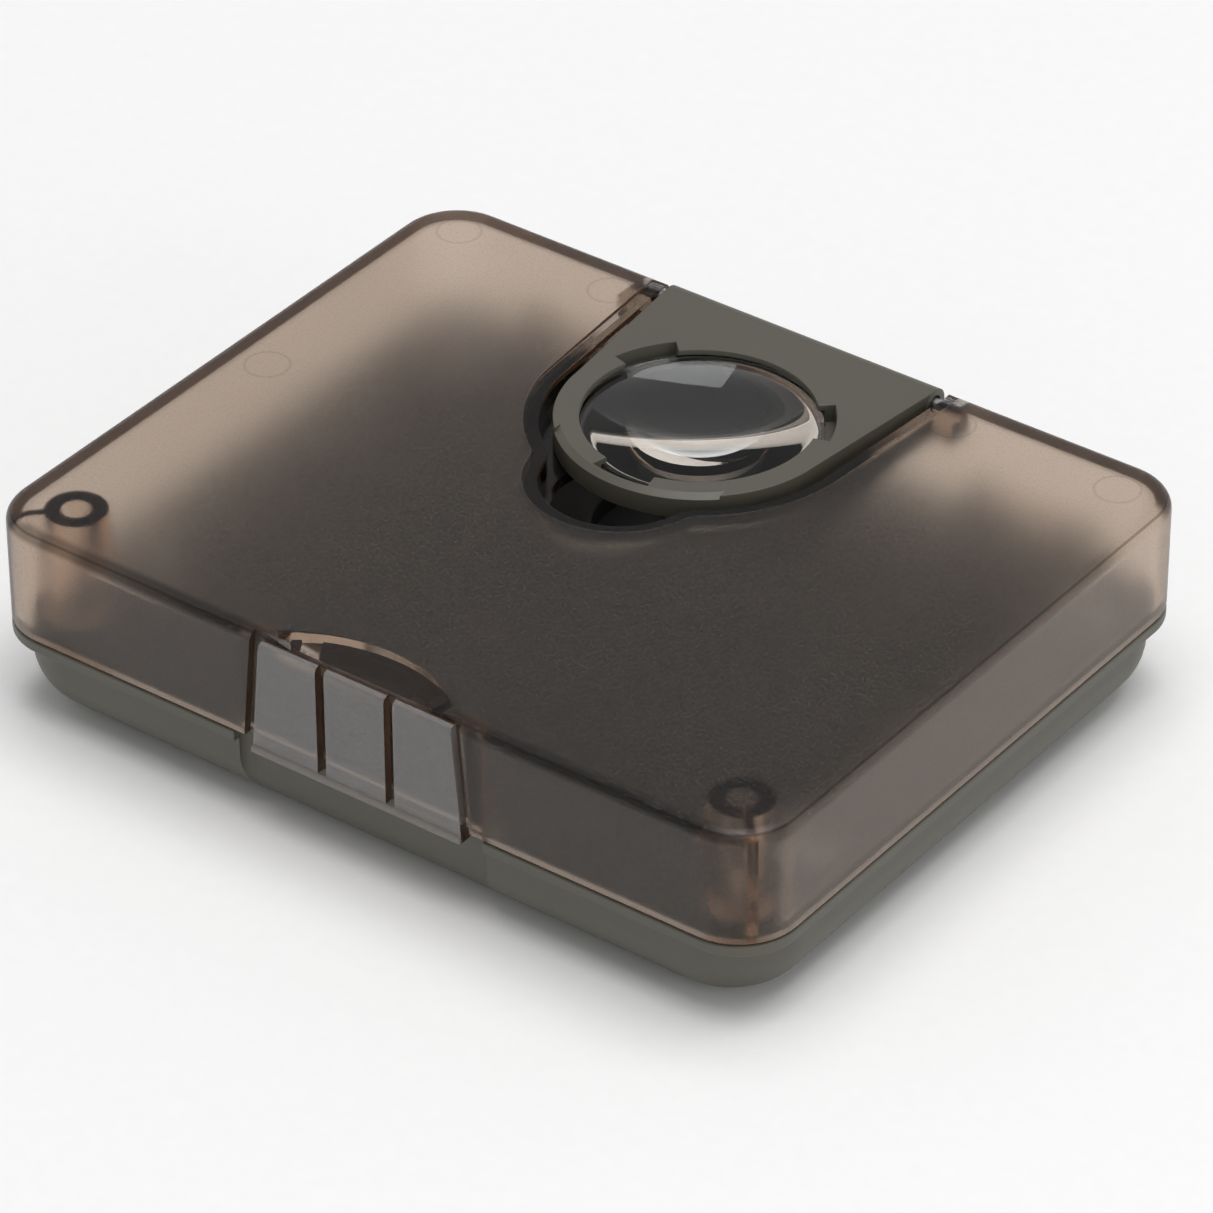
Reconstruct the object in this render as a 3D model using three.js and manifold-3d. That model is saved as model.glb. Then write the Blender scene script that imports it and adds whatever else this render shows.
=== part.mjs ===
// A pocket demagnetizer: a hinged case with a smoke lid, a flip-up loupe, and magnets under a dark deck.
// Millimetres, +Z up, thumb grip towards -Y. Every piece is laid out about the middle of the case's outline,
// and the last lines move the whole so that its bounding box is centred over the origin.
import * as THREE from "three";
import { mergeVertices } from "three/addons/utils/BufferGeometryUtils.js";
import Module from "manifold-3d";

const wasm = await Module();
wasm.setup();

// ---- Driving dimensions ------------------------------------------------------------------------------------

const gap = 0.3; // clearance between pieces that nest, touch or turn on each other
const beyond = 5; // how far a cutting tool runs past what it cuts
const overlap = 0.5; // how far a feature runs into the solid it is joined to

const outline = { width: 120, depth: 96, corner: 8.5 };
const foot = { radius: 4, pocket: 1, inset: 16, proud: 0.6 };
const base = { height: 12, wall: 2, floor: 2, corner: 11, fillet: 8, rimHeight: 1.6, rimStep: 1 };
const recess = { halfWidth: 19.3, depth: 2.4, bottomDepth: 9, control: 2.5, straight: 6 };
const lid = { height: 16.1, wall: 2, roof: 2, edge: 1.8, innerEdge: 1 };
const grip = {
  topHalf: 14.7, bottomHalf: 16.3, skirt: 1.8, lip: 0.5, lipHeight: 0.9, padDrop: 1.2,
  grooveAt: 5.3, groove: 1.35, margin: 1.4, depth: 1.2, scoop: 7, scoopDepth: 1.8, scoopRun: 4, backing: 1,
};
const boss = { wall: 2.15, fromSide: 8.5, fromFront: 9.1, rib: 1.2 };
const hinge = { fromSide: 24, length: 20, ear: 5, radius: 2.4, pin: 1, behind: 0.6, boreEnd: 1 };
const lens = { radius: 16, edge: 1.2, land: 1, sag: 1.6 };
const loupe = {
  rim: 2.8, flare: 2.4, behindRing: 5.6, thickness: 3.4, proud: 0.3,
  barrel: 2.1, pin: 0.9, overhang: 0.6, lip: 0.8, lug: 4.2, lugEnd: 1,
};
const notch = {
  count: 3, firstAngle: 30, halfAngle: 14, hookHalfAngle: 10, reach: 2.2, hook: 0.8, hookTip: 0.2, hookReach: 1,
};
const pocket = { margin: 1.8, rearMargin: 1.2, wall: 1.6, shelf: 1.6, ledge: 0.8, step: 0.5, stepWidth: 2 };
const fingerGap = { radius: 10.4, tuck: 3.4, blend: 6, ledge: 1.5 };
const deck = { thickness: 2, belowRim: 0.6 };
const guide = { width: 8, fromSide: 19, depth: 1, fromFront: 26 };
const yoke = { thickness: 1, fromSide: 20, width: 12 };
const demagMagnet = { width: 10, spacing: 4.3, shares: [1, 0.84, 0.69, 0.56, 0.44, 0.33] };
const cup = { wall: 1.2, floor: 1, shallow: 3 };
const slot = { width: 7, length: 18, fromSide: 22 };
const slotMagnet = { thickness: 4, length: 16 };
const well = { radius: 11, fromSide: 22 };
const inspection = { radius: 14 };
const screw = {
  head: 2.3, headHeight: 1, headEdge: 0.4, crown: 1.7, shank: 1, length: 6, wall: 1.9,
  fromSide: 9.5, fromFront: 24, fromRear: 10,
};
const catchMagnet = { radius: 2, height: 4, wall: 1.5, lidRadius: 1.65, lidHeight: 4 };

// ---- Levels and places that follow from them ---------------------------------------------------------------

const halfX = outline.width / 2;
const halfY = outline.depth / 2;
const baseBottom = foot.proud;
const rimTop = baseBottom + base.height;
const floorTop = baseBottom + base.floor;
const lidBottom = rimTop + gap;
const lidTop = lidBottom + lid.height;
const roofBottom = lidTop - lid.roof;
const cavityX = halfX - base.rimStep - base.wall;
const cavityY = halfY - base.rimStep - base.wall;
const deckTop = rimTop - deck.belowRim;
const deckBottom = deckTop - deck.thickness;
const postTop = deckBottom - gap;
const yokeBottom = floorTop + gap;
const magnetBottom = yokeBottom + yoke.thickness + gap;
const deepCup = deckTop - magnetBottom - cup.floor; // depth of a cup that reaches down to the yoke's level

const bossAt = { x: halfX - boss.fromSide, y: -(halfY - boss.fromFront) };
const bossLow = lidBottom + gap;
const bossBore = catchMagnet.lidRadius + gap;
const hingeAxis = { y: halfY + hinge.behind, z: rimTop + gap / 2 };
const hingeX = halfX - hinge.fromSide;
const armTop = lidTop + loupe.proud;
const armBottom = armTop - loupe.thickness;
const loupeAxis = { y: halfY + loupe.proud - loupe.barrel, z: armTop - loupe.barrel };
const ringRadius = lens.radius + loupe.rim;
const rearHalf = ringRadius + loupe.flare;
const opening = lens.radius - loupe.overhang; // radius of the arm's opening over the lens
const lensY = halfY - loupe.behindRing - ringRadius;
const lensTop = armTop - loupe.lip - gap; // top of the lens's flat edge
const bulgeY = lensY - (ringRadius + pocket.margin - fingerGap.tuck); // centre of the finger gap's bulge
const lugFrom = rearHalf + pocket.rearMargin; // where the lugs for the loupe's pin start, out from the middle
const shelfTop = armBottom - gap;
const shelfBottom = shelfTop - pocket.shelf;
const screwPlaces = [-1, 1].flatMap((side) => [
  [side * (halfX - screw.fromSide), -halfY + screw.fromFront],
  [side * (halfX - screw.fromSide), halfY - screw.fromRear],
]);

// ---- Solids from three.js geometries -----------------------------------------------------------------------

// The closed solid that a geometry bounds.
function solid(geometry) {
  const bare = geometry.clone();
  bare.deleteAttribute("normal");
  bare.deleteAttribute("uv");
  const merged = mergeVertices(bare, 1e-4);
  return new wasm.Manifold(
    new wasm.Mesh({
      numProp: 3,
      vertProperties: merged.attributes.position.array,
      triVerts: merged.index.array,
    }),
  );
}

// A flat outline raised from one level to another.
function prism(shape, low, high, curveSegments = 8) {
  const options = { depth: high - low, bevelEnabled: false, curveSegments };
  return solid(new THREE.ExtrudeGeometry(shape, options).translate(0, 0, low));
}

// The same with its lower edge rounded; a negative round turns it over, with the upper edge rounded.
function tub(shape, low, high, round) {
  const radius = Math.abs(round);
  const length = high - low + beyond;
  const options = {
    depth: length - 2 * radius, curveSegments: 8,
    bevelThickness: radius, bevelSize: radius, bevelOffset: -radius, bevelSegments: 5,
  };
  const bottom = round > 0 ? low : low - beyond;
  const raised = new THREE.ExtrudeGeometry(shape, options).translate(0, 0, bottom + radius);
  return solid(raised).intersect(block(-2 * halfX, 2 * halfX, -2 * halfY, 2 * halfY, low, high));
}

function block(x0, x1, y0, y1, z0, z1) {
  const box = new THREE.BoxGeometry(x1 - x0, y1 - y0, z1 - z0);
  return solid(box.translate((x0 + x1) / 2, (y0 + y1) / 2, (z0 + z1) / 2));
}

// A round bar, upright or lying along X.
function upright(radius, x, y, low, high, sides = 24) {
  const bar = new THREE.CylinderGeometry(radius, radius, high - low, sides).rotateX(Math.PI / 2);
  return solid(bar.translate(x, y, (low + high) / 2));
}

function alongX(radius, x0, x1, y, z, sides = 24) {
  const bar = new THREE.CylinderGeometry(radius, radius, x1 - x0, sides).rotateZ(Math.PI / 2);
  return solid(bar.translate((x0 + x1) / 2, y, z));
}

// An outline drawn in X and Z, given thickness from y0 backwards to y1.
function facingFront(shape, y0, y1) {
  const options = { depth: y1 - y0, bevelEnabled: false };
  return solid(new THREE.ExtrudeGeometry(shape, options).rotateX(Math.PI / 2).translate(0, y1, 0));
}

function roundedRect(x, y, corner) {
  const shape = new THREE.Shape();
  shape.absarc(x - corner, y - corner, corner, 0, Math.PI / 2);
  shape.absarc(corner - x, y - corner, corner, Math.PI / 2, Math.PI);
  shape.absarc(corner - x, corner - y, corner, Math.PI, 1.5 * Math.PI);
  shape.absarc(x - corner, corner - y, corner, 1.5 * Math.PI, 2 * Math.PI);
  return shape;
}

// The stretch of a ring between two radii, about the lens's axis, centred on an angle in degrees.
function ringSector(inner, outer, angle, halfAngle) {
  const from = THREE.MathUtils.degToRad(angle - halfAngle);
  const to = THREE.MathUtils.degToRad(angle + halfAngle);
  const shape = new THREE.Shape();
  shape.absarc(0, lensY, outer, from, to);
  shape.absarc(0, lensY, inner, to, from, true);
  return shape;
}

function union(solids) {
  return solids.reduce((sum, next) => sum.add(next));
}

// ---- Outlines shared by the lid and the loupe --------------------------------------------------------------

// Where a line from a rear corner runs on to a circle about the lens's axis: its angle on that circle.
function flankAngle(radius, rearX, rearY) {
  const distance = Math.hypot(rearX, rearY - lensY);
  return Math.atan2(rearY - lensY, rearX) - Math.acos(radius / distance);
}

function armOutline() {
  const flank = flankAngle(ringRadius, rearHalf, loupeAxis.y);
  const shape = new THREE.Shape();
  shape.absarc(0, lensY, ringRadius, flank, -Math.PI - flank, true);
  shape.lineTo(-rearHalf, loupeAxis.y);
  shape.lineTo(rearHalf, loupeAxis.y);
  return shape;
}

// The pocket that the arm lies in, with a bulge in front for a fingertip, grown by a distance all round.
function pocketOutline(grow) {
  const ring = ringRadius + pocket.margin + grow;
  const rearX = lugFrom + grow;
  const bulge = fingerGap.radius + grow;
  const blend = fingerGap.blend - grow;
  const flank = flankAngle(ring, rearX, halfY);
  const squares = (bulge + blend) ** 2 - (ring + blend) ** 2 + lensY ** 2 - bulgeY ** 2;
  const blendY = squares / (2 * (lensY - bulgeY));
  const blendX = Math.sqrt((bulge + blend) ** 2 - (blendY - bulgeY) ** 2);
  const offRing = Math.atan2(blendY - lensY, blendX);
  const offBulge = Math.atan2(blendY - bulgeY, blendX);
  const shape = new THREE.Shape();
  shape.moveTo(rearX, halfY + beyond);
  shape.lineTo(rearX, halfY);
  shape.absarc(0, lensY, ring, flank, offRing, true);
  shape.absarc(blendX, blendY, blend, offRing + Math.PI, offBulge + Math.PI);
  shape.absarc(0, bulgeY, bulge, offBulge, -Math.PI - offBulge, true);
  shape.absarc(-blendX, blendY, blend, -offBulge, -offRing);
  shape.absarc(0, lensY, ring, -Math.PI - offRing, -Math.PI - flank, true);
  shape.lineTo(-rearX, halfY);
  shape.lineTo(-rearX, halfY + beyond);
  return shape;
}

// ---- Base --------------------------------------------------------------------------------------------------

// The finger scoop under the grip, which slopes in towards the bottom; grown, it is the wall behind it.
function fingerScoop(grow) {
  const section = new THREE.Shape();
  const face = -halfY + recess.depth + grow;
  section.moveTo(face, rimTop + beyond);
  section.lineTo(face, recess.straight);
  section.quadraticCurveTo(face, recess.control, -halfY + recess.bottomDepth + grow, 0);
  section.lineTo(-halfY - beyond, 0);
  section.lineTo(-halfY - beyond, rimTop + beyond);
  const half = recess.halfWidth + grow;
  const options = { depth: 2 * half, bevelEnabled: false, curveSegments: 8 };
  const alongZ = new THREE.ExtrudeGeometry(section, options).translate(0, 0, -half);
  const axes = [[0, 1, 0], [0, 0, 1], [1, 0, 0]].map((axis) => new THREE.Vector3(...axis));
  return solid(alongZ.applyMatrix4(new THREE.Matrix4().makeBasis(...axes)));
}

// The stretches of one hinge along X: the base's ears at its two ends, or the lid's knuckle between them.
function hingeStretches(side, ofBase) {
  const low = side * hingeX - hinge.length / 2;
  const high = low + hinge.length;
  if (ofBase) return [[low, low + hinge.ear], [high - hinge.ear, high]];
  return [[low + hinge.ear + gap, high - hinge.ear - gap]];
}

function knuckles(ofBase, radius, spread) {
  return union([-1, 1].flatMap((side) => hingeStretches(side, ofBase)).map(
    ([x0, x1]) => alongX(radius, x0 - spread, x1 + spread, hingeAxis.y, hingeAxis.z),
  ));
}

// The webs that join the knuckles to a wall, from the wall's inner face out to the hinge's axis.
function webs(ofBase, low, high) {
  return union([-1, 1].flatMap((side) => hingeStretches(side, ofBase)).map(
    ([x0, x1]) => block(x0, x1, halfY - base.rimStep - base.wall, hingeAxis.y, low, high),
  ));
}

function pinBores(radius) {
  return union([-1, 1].map((side) => {
    const middle = side * hingeX;
    const reach = hinge.length / 2 + hinge.boreEnd;
    return alongX(radius, middle - reach, middle + reach, hingeAxis.y, hingeAxis.z, 16);
  }));
}

function footPlaces() {
  const x = halfX - foot.inset;
  const y = halfY - foot.inset;
  return [[-x, -y], [x, -y], [-x, y], [x, y]];
}

function baseTray() {
  const body = tub(
    roundedRect(halfX - base.rimStep, halfY - base.rimStep, base.corner), baseBottom, rimTop, base.fillet,
  );
  const rim = prism(roundedRect(halfX, halfY, outline.corner), rimTop - base.rimHeight, rimTop);
  const outside = body.add(rim);
  const cavity = tub(
    roundedRect(cavityX, cavityY, base.corner - base.wall), floorTop, rimTop + beyond, base.fillet - base.wall,
  );
  const posts = union([
    ...screwPlaces.map(([x, y]) => upright(screw.shank + gap + screw.wall, x, y, baseBottom, postTop)),
    ...[-1, 1].map((side) => upright(
      catchMagnet.radius + gap + catchMagnet.wall, side * bossAt.x, bossAt.y, baseBottom, postTop,
    )),
  ]);
  const cores = union([
    ...screwPlaces.map(([x, y]) => upright(screw.shank + gap, x, y, postTop - screw.length, rimTop, 16)),
    ...[-1, 1].map((side) => upright(
      catchMagnet.radius + gap, side * bossAt.x, bossAt.y, postTop - catchMagnet.height - gap, rimTop,
    )),
  ]);
  const footPockets = union(footPlaces().map(
    ([x, y]) => upright(foot.radius + gap, x, y, -beyond, baseBottom + foot.pocket),
  ));
  const webTop = hingeAxis.z - gap / 2;
  const ears = knuckles(true, hinge.radius, 0).add(webs(true, hingeAxis.z - hinge.radius, webTop));
  return outside
    .subtract(cavity)
    .add(posts.intersect(body))
    .add(fingerScoop(base.wall).intersect(body))
    .add(ears)
    .subtract(fingerScoop(0))
    .subtract(cores)
    .subtract(footPockets)
    .subtract(knuckles(false, hinge.radius + gap, gap))
    .subtract(pinBores(hinge.pin + gap));
}

// ---- Deck and what lies under it ---------------------------------------------------------------------------

const slotX = halfX - slot.fromSide;
const wellX = -(halfX - well.fromSide);
const guideY = -halfY + guide.fromFront;
const yokeHalf = halfX - yoke.fromSide;
const magnetCell = (2 * yokeHalf) / demagMagnet.shares.length; // each magnet's share of the yoke's length
const slotYokeHalf = slot.width / 2 + cup.wall + gap + slotMagnet.thickness; // out to the magnets' outer faces

// A cup that hangs from the deck. The outline is its inside at a growth of 0, and its outside at its wall.
function cupUnder(outlineAt, depth) {
  return {
    outside: prism(outlineAt(cup.wall), deckTop - depth - cup.floor, deckTop - deck.thickness / 2),
    inside: prism(outlineAt(0), deckTop - depth, deckTop + beyond),
  };
}

function circleAt(x, y, radius) {
  return (grow) => new THREE.Shape().absarc(x, y, radius + grow, 0, 2 * Math.PI);
}

function slotOutline(grow) {
  const half = { x: slot.width / 2 + grow, y: slot.length / 2 + grow };
  const shape = new THREE.Shape();
  shape.moveTo(slotX - half.x, lensY - half.y);
  shape.lineTo(slotX + half.x, lensY - half.y);
  shape.lineTo(slotX + half.x, lensY + half.y);
  shape.lineTo(slotX - half.x, lensY + half.y);
  return shape;
}

function deckInsert() {
  const corner = base.corner - base.wall - gap;
  const plate = prism(roundedRect(cavityX - gap, cavityY - gap, corner), deckBottom, deckTop);
  const cups = [
    cupUnder(slotOutline, deepCup),
    cupUnder(circleAt(wellX, lensY, well.radius), deepCup),
    cupUnder(circleAt(0, lensY, inspection.radius), cup.shallow),
  ];
  const guideHalf = halfX - guide.fromSide;
  const guideGroove = block(
    -guideHalf, guideHalf, guideY - guide.width / 2, guideY + guide.width / 2,
    deckTop - guide.depth, deckTop + beyond,
  );
  const screwHoles = union(screwPlaces.map(([x, y]) => upright(screw.shank + gap, x, y, postTop, rimTop, 16)));
  const headSeats = union(screwPlaces.map(
    ([x, y]) => upright(screw.head + gap, x, y, deckTop - screw.headHeight - gap, rimTop),
  ));
  return plate
    .add(union(cups.map((each) => each.outside)))
    .subtract(union(cups.map((each) => each.inside)))
    .subtract(guideGroove)
    .subtract(screwHoles)
    .subtract(headSeats)
    .subtract(fingerScoop(base.wall + gap));
}

// A pan-head screw, head up, drawn about its own axis with the underside of its head at zero.
function deckScrew() {
  const profile = [
    [0, -screw.length + gap], [screw.shank, -screw.length + gap], [screw.shank, 0], [screw.head, 0],
    [screw.head, screw.headEdge], [screw.crown, screw.headHeight - gap], [0, screw.headHeight - gap],
  ].map(([radius, z]) => new THREE.Vector2(radius, z));
  return solid(new THREE.LatheGeometry(profile, 20).rotateX(Math.PI / 2));
}

// ---- Lid ---------------------------------------------------------------------------------------------------

// The grip's outline seen from the front, widened at its sides by a margin.
function gripTrapezoid(margin, low, high) {
  const slope = (grip.bottomHalf - grip.topHalf) / (lidTop - lidBottom + grip.skirt);
  const halfAt = (z) => grip.topHalf + margin + slope * (lidTop - z);
  const shape = new THREE.Shape();
  shape.moveTo(-halfAt(low), low);
  shape.lineTo(halfAt(low), low);
  shape.lineTo(halfAt(high), high);
  shape.lineTo(-halfAt(high), high);
  return shape;
}

const skirtBottom = lidBottom - grip.skirt;

// Solid plastic behind the grip, so that its recess and scoop leave a full wall.
function gripBacking() {
  const half = grip.bottomHalf + grip.margin + grip.backing;
  const front = -halfY + lid.wall - overlap;
  const behindWall = block(-half, half, front, -halfY + grip.depth + lid.wall, lidBottom, roofBottom + overlap);
  const underScoop = block(
    -half, half, front, -halfY + grip.scoop + grip.backing, roofBottom - grip.scoopDepth, roofBottom + overlap,
  );
  return behindWall.add(underScoop);
}

// The arched thumb scoop in the lid's upper edge, the lower end of a wide upright cone.
function gripScoop() {
  const half = grip.topHalf + grip.margin;
  const radius = (half ** 2 + grip.scoop ** 2) / (2 * grip.scoop);
  const slope = grip.scoopRun / grip.scoopDepth;
  const height = grip.scoopDepth + beyond;
  const cone = new THREE.CylinderGeometry(radius + beyond * slope, radius - grip.scoopRun, height, 96);
  const y = -halfY + grip.scoop - radius;
  return solid(cone.rotateX(Math.PI / 2).translate(0, y, lidTop + beyond - height / 2));
}

// The two grooves between the pads, from the lip up.
function gripGrooves() {
  return union([-1, 1].map((side) => block(
    side * grip.grooveAt - grip.groove / 2, side * grip.grooveAt + grip.groove / 2,
    -halfY - beyond, -halfY + grip.depth, skirtBottom + grip.lipHeight, lidTop,
  )));
}

function gripPads() {
  const panel = facingFront(
    gripTrapezoid(0, skirtBottom, lidTop - grip.padDrop), -halfY, -halfY + grip.depth + overlap,
  );
  const lip = facingFront(
    gripTrapezoid(0, skirtBottom, skirtBottom + grip.lipHeight), -halfY - grip.lip, -halfY + grip.depth,
  );
  return panel.subtract(gripGrooves()).add(lip);
}

// Round bosses in the front corners, each braced to the corner behind it.
function cornerBosses() {
  const high = roofBottom + overlap;
  const reach = boss.fromSide + boss.fromFront;
  return union([-1, 1].map((side) => {
    const round = upright(bossBore + boss.wall, side * bossAt.x, bossAt.y, bossLow, high);
    const rib = new THREE.BoxGeometry(boss.rib, reach, high - bossLow);
    rib.translate(0, -reach / 2, (high + bossLow) / 2).rotateZ(side * Math.PI / 4);
    return round.add(solid(rib.translate(side * bossAt.x, bossAt.y, 0)));
  }));
}

function bossBores() {
  return union([-1, 1].map(
    (side) => upright(bossBore, side * bossAt.x, bossAt.y, bossLow - beyond, roofBottom),
  ));
}

// Everything in the lid that holds the loupe: a shelf below the roof and a lug at each end of its pin.
function loupeSeat() {
  const high = roofBottom + overlap;
  const seat = prism(pocketOutline(pocket.wall), shelfBottom, high, 10);
  const half = lugFrom + loupe.lug;
  return seat.add(block(-half, half, loupeAxis.y - 2 * loupe.barrel, halfY, shelfBottom, high));
}

function loupeCuts() {
  const window = upright(lens.radius - pocket.ledge, 0, lensY, shelfBottom - beyond, lidTop, 40);
  const fingerHole = upright(fingerGap.radius - fingerGap.ledge, 0, bulgeY, shelfBottom - beyond, lidTop, 32);
  const band = prism(pocketOutline(pocket.stepWidth), lidTop - pocket.step, lidTop + beyond, 10);
  const holeEnd = lugFrom + loupe.lug - loupe.lugEnd;
  const pinHole = alongX(loupe.pin + gap, -holeEnd, holeEnd, loupeAxis.y, loupeAxis.z, 16);
  return prism(pocketOutline(0), shelfTop, lidTop + beyond, 10)
    .add(window)
    .add(fingerHole)
    .add(band)
    .add(alongX(loupe.barrel + gap, -lugFrom, lugFrom, loupeAxis.y, loupeAxis.z))
    .add(pinHole);
}

function lidShell() {
  const outside = tub(roundedRect(halfX, halfY, outline.corner), lidBottom, lidTop, -lid.edge);
  const cavity = tub(
    roundedRect(halfX - lid.wall, halfY - lid.wall, outline.corner - lid.wall), lidBottom - beyond, roofBottom,
    -lid.innerEdge,
  );
  const skirt = facingFront(gripTrapezoid(0, skirtBottom, lidBottom + overlap), -halfY, -halfY + lid.wall);
  const inside = gripBacking().add(cornerBosses()).add(loupeSeat()).intersect(outside);
  const recessCut = facingFront(
    gripTrapezoid(grip.margin, lidBottom, lidTop), -halfY - beyond, -halfY + grip.depth,
  );
  const webBottom = hingeAxis.z + gap / 2;
  const lidKnuckles = knuckles(false, hinge.radius, 0).add(webs(false, webBottom, hingeAxis.z + hinge.radius));
  return outside
    .subtract(cavity)
    .add(inside)
    .add(lidKnuckles)
    .subtract(recessCut)
    .subtract(gripScoop())
    .add(skirt.subtract(gripGrooves()))
    .add(gripPads())
    .subtract(bossBores())
    .subtract(loupeCuts())
    .subtract(knuckles(true, hinge.radius + gap, gap))
    .subtract(pinBores(hinge.pin + gap));
}

// ---- Loupe -------------------------------------------------------------------------------------------------

function loupeArm() {
  const hooksTop = lensTop - lens.edge - gap;
  const angles = Array.from({ length: notch.count }, (_, i) => notch.firstAngle + (i * 360) / notch.count);
  const bore = upright(lens.radius + gap, 0, lensY, armBottom - beyond, lensTop + gap, 64);
  const view = upright(opening, 0, lensY, armBottom, armTop + beyond, 64);
  const windows = union(angles.map((angle) => prism(
    ringSector(opening - overlap, opening + notch.reach, angle, notch.halfAngle), hooksTop, armTop + beyond,
  )));
  const hookFrom = lens.radius - lens.land + notch.hookTip;
  const hooks = union(angles.map((angle) => prism(
    ringSector(hookFrom, lens.radius + notch.hookReach, angle, notch.hookHalfAngle),
    armBottom, armBottom + notch.hook,
  )));
  return prism(armOutline(), armBottom, armTop, 16)
    .add(alongX(loupe.barrel, -rearHalf, rearHalf, loupeAxis.y, loupeAxis.z))
    .subtract(bore)
    .subtract(view)
    .subtract(windows)
    .add(hooks)
    .subtract(alongX(loupe.pin + gap, -rearHalf - beyond, rearHalf + beyond, loupeAxis.y, loupeAxis.z, 16));
}

// A biconvex lens with a flat edge, drawn about its own axis with the top of the edge at zero.
function loupeLens() {
  const dome = lens.radius - lens.land;
  const curve = (dome ** 2 + lens.sag ** 2) / (2 * lens.sag); // radius of each face
  const steps = 8;
  const face = Array.from({ length: steps + 1 }, (_, i) => {
    const radius = (dome * i) / steps;
    return [radius, Math.sqrt(curve ** 2 - radius ** 2) - curve + lens.sag];
  });
  const profile = [
    ...face.map(([radius, rise]) => [radius, -lens.edge - rise]),
    [lens.radius, -lens.edge],
    [lens.radius, 0],
    ...face.reverse(),
  ].map(([radius, z]) => new THREE.Vector2(radius, z));
  return solid(new THREE.LatheGeometry(profile, 48).rotateX(Math.PI / 2));
}

// ---- Assembly ----------------------------------------------------------------------------------------------

const finish = {
  olive: new THREE.MeshStandardMaterial({ color: 0x55544d, roughness: 0.55, metalness: 0 }),
  smoke: new THREE.MeshStandardMaterial({
    color: 0x6b625b, roughness: 0.45, metalness: 0, transparent: true, opacity: 0.6,
  }),
  dark: new THREE.MeshStandardMaterial({ color: 0x262626, roughness: 0.7, metalness: 0 }),
  clear: new THREE.MeshStandardMaterial({ color: 0xf2f5f5, roughness: 0.03, transparent: true, opacity: 0.35 }),
  nickel: new THREE.MeshStandardMaterial({ color: 0xb9b9b6, roughness: 0.25, metalness: 1 }),
  steel: new THREE.MeshStandardMaterial({ color: 0x8e9092, roughness: 0.4, metalness: 1 }),
  rubber: new THREE.MeshStandardMaterial({ color: 0x1c1c1c, roughness: 0.9, metalness: 0 }),
};

// The bounding box's middle in Y lies behind the outline's, by half of what stands out behind less in front.
const behind = hinge.behind + hinge.radius;
const assembly = new THREE.Group();
assembly.position.y = (grip.lip - behind) / 2;

function place(name, body, material, x = 0, y = 0, z = 0) {
  const { vertProperties, triVerts } = body.getMesh();
  const geometry = new THREE.BufferGeometry();
  geometry.setAttribute("position", new THREE.BufferAttribute(vertProperties, 3));
  geometry.setIndex(new THREE.BufferAttribute(triVerts, 1));
  const mesh = new THREE.Mesh(geometry, material);
  mesh.name = name;
  mesh.position.set(x, y, z);
  assembly.add(mesh);
}

place("base_tray", baseTray(), finish.olive);
place("deck_insert", deckInsert(), finish.dark);
screwPlaces.forEach(([x, y], i) => {
  place(`deck_screw_${i + 1}`, deckScrew(), finish.steel, x, y, deckTop - screw.headHeight);
});
footPlaces().forEach(([x, y], i) => {
  place(`foot_${i + 1}`, upright(foot.radius, 0, 0, 0, foot.proud + foot.pocket - gap), finish.rubber, x, y);
});
[["left", -1], ["right", 1]].forEach(([word, side]) => {
  const beside = block(
    -slotMagnet.thickness / 2, slotMagnet.thickness / 2, -slotMagnet.length / 2, slotMagnet.length / 2,
    magnetBottom, postTop,
  );
  const pinHalf = (hinge.length - gap) / 2;
  const lidMagnetLow = bossLow + gap;
  place(`hinge_pin_${word}`, alongX(hinge.pin, -pinHalf, pinHalf, 0, 0, 16), finish.steel,
    side * hingeX, hingeAxis.y, hingeAxis.z);
  place(`slot_magnet_${word}`, beside, finish.nickel,
    slotX + side * (slotYokeHalf - slotMagnet.thickness / 2), lensY);
  place(`catch_magnet_${word}`, upright(catchMagnet.radius, 0, 0, postTop - catchMagnet.height, postTop),
    finish.nickel, side * bossAt.x, bossAt.y);
  place(`lid_magnet_${word}`,
    upright(catchMagnet.lidRadius, 0, 0, lidMagnetLow, lidMagnetLow + catchMagnet.lidHeight),
    finish.nickel, side * bossAt.x, bossAt.y);
});
place("yoke_plate", block(
  -yokeHalf, yokeHalf, -yoke.width / 2, yoke.width / 2, yokeBottom, yokeBottom + yoke.thickness,
), finish.steel, 0, guideY);
place("slot_yoke", block(
  -slotYokeHalf, slotYokeHalf, -slotMagnet.length / 2, slotMagnet.length / 2,
  yokeBottom, yokeBottom + yoke.thickness,
), finish.steel, slotX, lensY);
demagMagnet.shares.forEach((share, i) => {
  const middle = (i + 0.5) * magnetCell - yokeHalf;
  const half = (magnetCell - demagMagnet.spacing) / 2;
  const height = share * (postTop - magnetBottom);
  place(`demag_magnet_${i + 1}`, block(
    -half, half, -demagMagnet.width / 2, demagMagnet.width / 2, magnetBottom, magnetBottom + height,
  ), finish.nickel, middle, guideY);
});
place("lid_shell", lidShell(), finish.smoke);
place("loupe_arm", loupeArm(), finish.olive);
place("loupe_lens", loupeLens(), finish.clear, 0, lensY, lensTop);
const loupePinHalf = lugFrom + loupe.lug - loupe.lugEnd - gap;
place("loupe_pin", alongX(loupe.pin, -loupePinHalf, loupePinHalf, 0, 0, 16), finish.steel,
  0, loupeAxis.y, loupeAxis.z);

export default assembly;
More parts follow.
